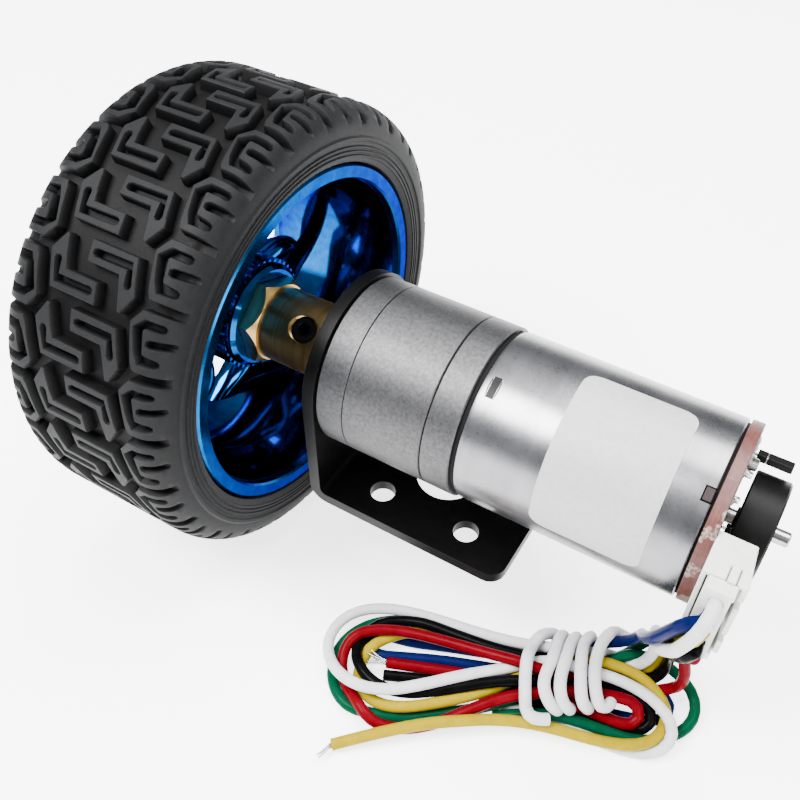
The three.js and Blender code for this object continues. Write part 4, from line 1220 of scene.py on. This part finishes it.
def label():
    """A blank paper label with rounded corners, wrapped on the can."""
    x0, x1, start, end, corner = 32.6, 47.4, 81.0, 191.0, 1.9
    per_degree = math.pi * 12.3 / 180
    length = (end - start) * per_degree
    rows = np.linspace(0, length, 90)
    vertices, faces = [], []
    for s in rows:
        edge = min(corner, s, length - s)
        inset = corner - math.sqrt(max(0.0, corner**2 - (corner - edge) ** 2))
        for radius in (12.25, 12.36):
            for x in (x0 + inset, x1 - inset):
                vertices.append((x, *polar(radius, start + s / per_degree)))
    for k in range(len(rows) - 1):
        a, b = 4 * k, 4 * (k + 1)
        faces += [(a, a + 1, b + 1, b), (a + 2, b + 2, b + 3, a + 3)]
        faces += [(a, b, b + 2, a + 2), (a + 1, a + 3, b + 3, b + 1)]
    last = 4 * (len(rows) - 1)
    faces += [(0, 2, 3, 1), (last, last + 1, last + 3, last + 2)]
    return new_object("label_blank", vertices, faces, "paper", sharp=40)


keep(label(), "gearmotor", "paper", "label")


# ---- end cap, encoder board and what stands on it ----------------------------------------------------------
BOARD_FACE = 54.2
SOLDER_DOME = ((0, 1), (0.18, 0.9), (0.6, 0.6), (0.9, 0.3), (1, 0))  # shares of its height and radius
SOLDER_SPOTS = (  # angle, distance from the axis and radius
    (200, 10.2, 1.1), (190, 7.6, 0.8), (214, 8.4, 0.9), (226, 10.4, 0.8), (170, 10.4, 0.8), (162, 8.2, 0.7),
    (60, 10.3, 0.8), (100, 10.2, 0.7), (80, 7.0, 0.8), (120, 8.6, 0.8), (30, 6.0, 0.7), (20, 10.0, 0.8),
    (246, 6.4, 0.8), (280, 9.6, 0.9),
)


def uneven_lathe(name, profile, centre, material, wobble=0.06, phase=2.0):
    """A small turned piece beside the motor's axis. Its radius swells three times round it."""
    segments = 24
    vertices = []
    for x, radius in profile:
        for k in range(segments):
            swell = 1 + wobble * math.sin(6 * math.pi * k / segments + phase)
            y, z = polar(radius * swell, 360 * k / segments)
            vertices.append((x, centre[0] + y, centre[1] + z))
    return new_object(name, vertices, ring_faces(segments, len(profile)), material, sharp=60)


def end_cap():
    profile = [(49.8, 2.2), (49.8, 11.2), (52.1, 11.2), (52.1, 2.9), (53.9, 2.9), (53.9, 2.2)]
    keep(lathe("end_cap_body", profile, "brown_plastic", 128), "gearmotor", "brown_plastic", "end_cap")
    for k, angle in enumerate(LUG_ANGLES):
        box = (51.15, 52.25), (10.5, 12.45), (-0.82, 0.82)
        lug = block(f"end_cap_lug_{k + 1}", *box, "brown_plastic", turn=angle, bevel=0.1)
        keep(lug, "gearmotor", "brown_plastic")


def board():
    profile = [(52.65, 3.4), (52.65, 12.25), (52.72, 12.3), (54.18, 12.3), (54.25, 12.25), (54.25, 3.4)]
    disc = lathe("encoder_board_disc", profile, "board_edge", 160)
    keep(disc, "gearmotor", "board", "encoder_board")
    for k, (angle, distance, size) in enumerate(SOLDER_SPOTS):
        dome = [(BOARD_FACE + rise * 0.45 * size, share * size) for rise, share in SOLDER_DOME]
        blob = uneven_lathe(f"solder_{k + 1}", dome, polar(distance, angle), "solder", 0.1, BOARD_FACE)
        keep(blob, "gearmotor", "steel")


def terminals():
    """The motor's two tabs in their solder, and two cut pins."""
    solder = [(BOARD_FACE, 1.5), (54.35, 1.2), (54.8, 0.85), (55.2, 0.8), (55.35, 0.6), (55.35, 0)]
    for k, angle in enumerate((78, 258)):
        box = (48.4, 55.1), (8.25, 8.75), (-0.7, 0.7)
        tab = block(f"terminal_tab_{k + 1}", *box, "steel", turn=angle, bevel=0.08)
        keep(tab, "gearmotor", "steel", f"terminal_{k + 1}")
        blob = uneven_lathe(f"terminal_solder_{k + 1}", solder, polar(8.5, angle), "solder")
        keep(blob, "gearmotor", "steel")
    for k, (angle, radius, length) in enumerate(((96, 9.2, 0.9), (118, 8.6, 0.7))):
        tip = BOARD_FACE + 0.1 + length
        profile = [(BOARD_FACE, 0.45), (tip - 0.1, 0.45), (tip, 0.3), (tip, 0)]
        pin = uneven_lathe(f"board_pin_{k + 1}", profile, polar(radius, angle), "tinned")
        keep(pin, "gearmotor", "steel")


# Each sensor's halves and the seam between them: from x, to x, how far drawn in, and its look.
# The seam's light tinned strip is a painted highlight.
SENSOR_PARTS = ((54.75, 55.95, 0.0, "black_plastic"), (55.9, 56.1, 0.06, "tinned"),
                (56.05, 59.2, 0.0, "black_plastic"))


def sensors():
    """Two sensors on edge round the drum, each moulded in two halves that meet at a seam painted light as a
    highlight.
    """
    corner = 0.7
    for k, angle in enumerate((44.5, 290)):
        for part, (x0, x1, inset, look) in enumerate(SENSOR_PARTS):
            inner, outer, half = 7.6 + inset, 9.1 - inset, 2 - inset
            outline = [(inner, -half), (outer - corner, -half), (outer, corner - half),
                       (outer, half - corner), (outer - corner, half), (inner, half)]
            name = f"hall_{k + 1}_{part + 1}"
            body = prism(name, turned_outline(outline, angle), x0, x1, look, bevel=0.08)
            keep(body, "gearmotor", "black_plastic", *([f"hall_sensor_{k + 1}"] if part == 2 else []))
        for m, offset in enumerate((-1.27, 0, 1.27)):
            box = (54.1, 54.9), (8.15, 8.55), (offset - 0.2, offset + 0.2)
            lead = block(f"hall_lead_{k + 1}_{m + 1}", *box, "tinned", turn=angle, bevel=0.06)
            keep(lead, "gearmotor", "steel")


def turned_outline(outline, angle):
    """A (y, z) outline turned about the motor's axis."""
    c, s = polar(1, angle)
    return [(y * c - z * s, y * s + z * c) for y, z in outline]


def drum():
    """The magnet drum, and the shaft that it sits on."""
    piece = lathe("encoder_drum", [
        (55.2, 1.03), (55.2, 1.4), (55.3, 1.5), (55.5, 1.5), (55.5, 6.5), (55.7, 6.7), (59.75, 6.7),
        (60, 6.45), (60, 2.4), (59.85, 2.2), (59.85, 1.03)], "black_plastic", 128)
    keep(piece, "rotor", "black_plastic", "encoder_magnet")
    bar = [(12.8, 0), (12.8, 0.85), (12.95, 1), (62.05, 1), (62.2, 0.85), (62.2, 0)]
    keep(lathe("rotor_shaft_bar", bar, "steel", 64), "rotor", "steel", "rotor_shaft")


def board_gap_shade():
    """Painted shade: a dark ring in the space between the can's end and the board."""
    ring = lathe("board_gap_shade", [(52.25, 9), (52.25, 11.7), (52.7, 11.7), (52.7, 9)], "gap_painted_shade", 128)
    keep(ring, "gearmotor", "brown_plastic")


end_cap()
board()
board_gap_shade()
terminals()
sensors()
drum()


# ---- board connector and plug ------------------------------------------------------------------------------
def header():
    """The board's open shell, with two slits and a notch at its mouth."""
    shell = [(54.3, -15), (59.65, -15), (58.9, -8.7), (54.3, -8.7)]
    hollow = [(54.9, -16), (59.05, -16), (58.3, -9.3), (54.9, -9.3)]
    piece = prism("header_shell", shell, -6.95, 6.95, "cream", "z")
    cut(piece, [prism("hollow", hollow, -6.35, 6.35, "steel", "z"),
                block("slit_a", (58.6, 60), (-16, -11), (-4.2, -2.8), "steel"),
                block("slit_b", (58.6, 60), (-16, -11), (2.8, 4.2), "steel"),
                block("notch", (57, 58.2), (-16, -12.8), (6, 8), "steel")])
    dress(piece, "cream", 30, bevel=0.16)
    keep(piece, "gearmotor", "white_plastic", "board_header")


PORT_R = 0.88
# The plug's raised parts, by their ranges in x, y and z.
PLUG_TRIMS = {
    "plug_ridge": ((55.2, 58.6), (-17, -15.2), (6.2, 7.1)),
    "plug_latch": ((57.1, 58.1), (-15.4, -12.9), (6.3, 7.5)),
    "plug_foot": ((55.3, 58.2), (-17, -15.2), (-7.3, -6.2)),
    "plug_keel": ((56.9, 58.9), (-15.9, -15.05), (-7.7, -6.2)),
}


def plug():
    """The plug, with a port for each wire."""
    body = block("plug_body", (55.1, 58.4), (PLUG_FACE, -10.4), (-6.25, 6.25), "cream")
    cut(body, [rod("port", PORT_R, PLUG_FACE - 1, -15.4, (57, z), "y", 24) for z in EXIT_Z.values()])
    dress(body, "cream", 30, bevel=0.12)
    keep(body, "gearmotor", "white_plastic", "lead_plug")
    for name, box in PLUG_TRIMS.items():
        keep(block(name, *box, "cream", bevel=0.16), "gearmotor", "white_plastic")


header()
plug()


# ---- inner pieces keep their CAD shape and take a finish ---------------------------------------------------
FINISH = {"carbon": "black_plastic", "can_steel": "can"}  # the other slots' finishes have the slots' names
slots = {part["node"]: part["material_slot"] for part in frame["record"]["subparts"]}
for node_name, node in frame["nodes"].items():
    if not node.hide_render:
        node.data.materials.clear()
        node.data.materials.append(MAT[FINISH.get(slots[node_name], slots[node_name])])
        node.data.shade_smooth()
        node.data.set_sharp_from_angle(angle=math.radians(32))


# ---- floor and light ---------------------------------------------------------------------------------------
def add_floor():
    half = 6.0  # metres
    mesh = bpy.data.meshes.new("floor")
    z = row((0, 0, FLOOR)).z - 0.0002
    corners = [(-half, -half, z), (half, -half, z), (half, half, z), (-half, half, z)]
    mesh.from_pydata(corners, [], [(0, 1, 2, 3)])
    floor = bpy.data.objects.new("floor", mesh)
    bpy.context.scene.collection.objects.link(floor)
    paint = finish_material("floor_paint", *grey(0.86, 0.88), 0, (0.7, 0.8), 20)
    shader = paint.node_tree.nodes["Principled BSDF"]
    shader.inputs["Emission Color"].default_value = (1, 1, 1, 1)
    shader.inputs["Emission Strength"].default_value = 2.6
    mesh.materials.append(paint)


def add_light(name, location, size, power):
    """A square lamp that faces the object."""
    target = (0.02, 0, 0)
    data = bpy.data.lights.new(name, "AREA")
    data.shape, data.size, data.energy = "SQUARE", size, power
    light = bpy.data.objects.new(name, data)
    bpy.context.scene.collection.objects.link(light)
    light.location = location
    light.rotation_euler = (Vector(target) - Vector(location)).to_track_quat("-Z", "Y").to_euler()


def add_world():
    """Bright above, with a darker band at the height that the metal's sides mirror."""
    world = bpy.data.worlds.new("studio")
    bpy.context.scene.world = world
    world.use_nodes = True
    tree = world.node_tree
    background = tree.nodes["Background"]
    place = tree.nodes.new("ShaderNodeTexCoord").outputs["Generated"]
    split = tree.nodes.new("ShaderNodeSeparateXYZ")
    tree.links.new(place, split.inputs["Vector"])
    ramp = tree.nodes.new("ShaderNodeValToRGB")
    elements = ramp.color_ramp.elements
    elements[0].position, elements[0].color = 0.0, (0.50, 0.51, 0.53, 1)
    elements[1].position, elements[1].color = 1.0, (1, 1, 1, 1)
    middle = elements.new(0.35)
    middle.color = (0.22, 0.23, 0.25, 1)
    tree.links.new(split.outputs["Z"], ramp.inputs["Fac"])
    tree.links.new(ramp.outputs["Color"], background.inputs["Color"])
    background.inputs["Strength"].default_value = 1.5


add_floor()
add_world()
add_light("key", (-0.25, -0.25, 0.55), 0.30, 16)
add_light("fill", (0.55, -0.35, 0.35), 0.35, 6)
add_light("top", (0.05, 0.15, 0.6), 0.4, 10)
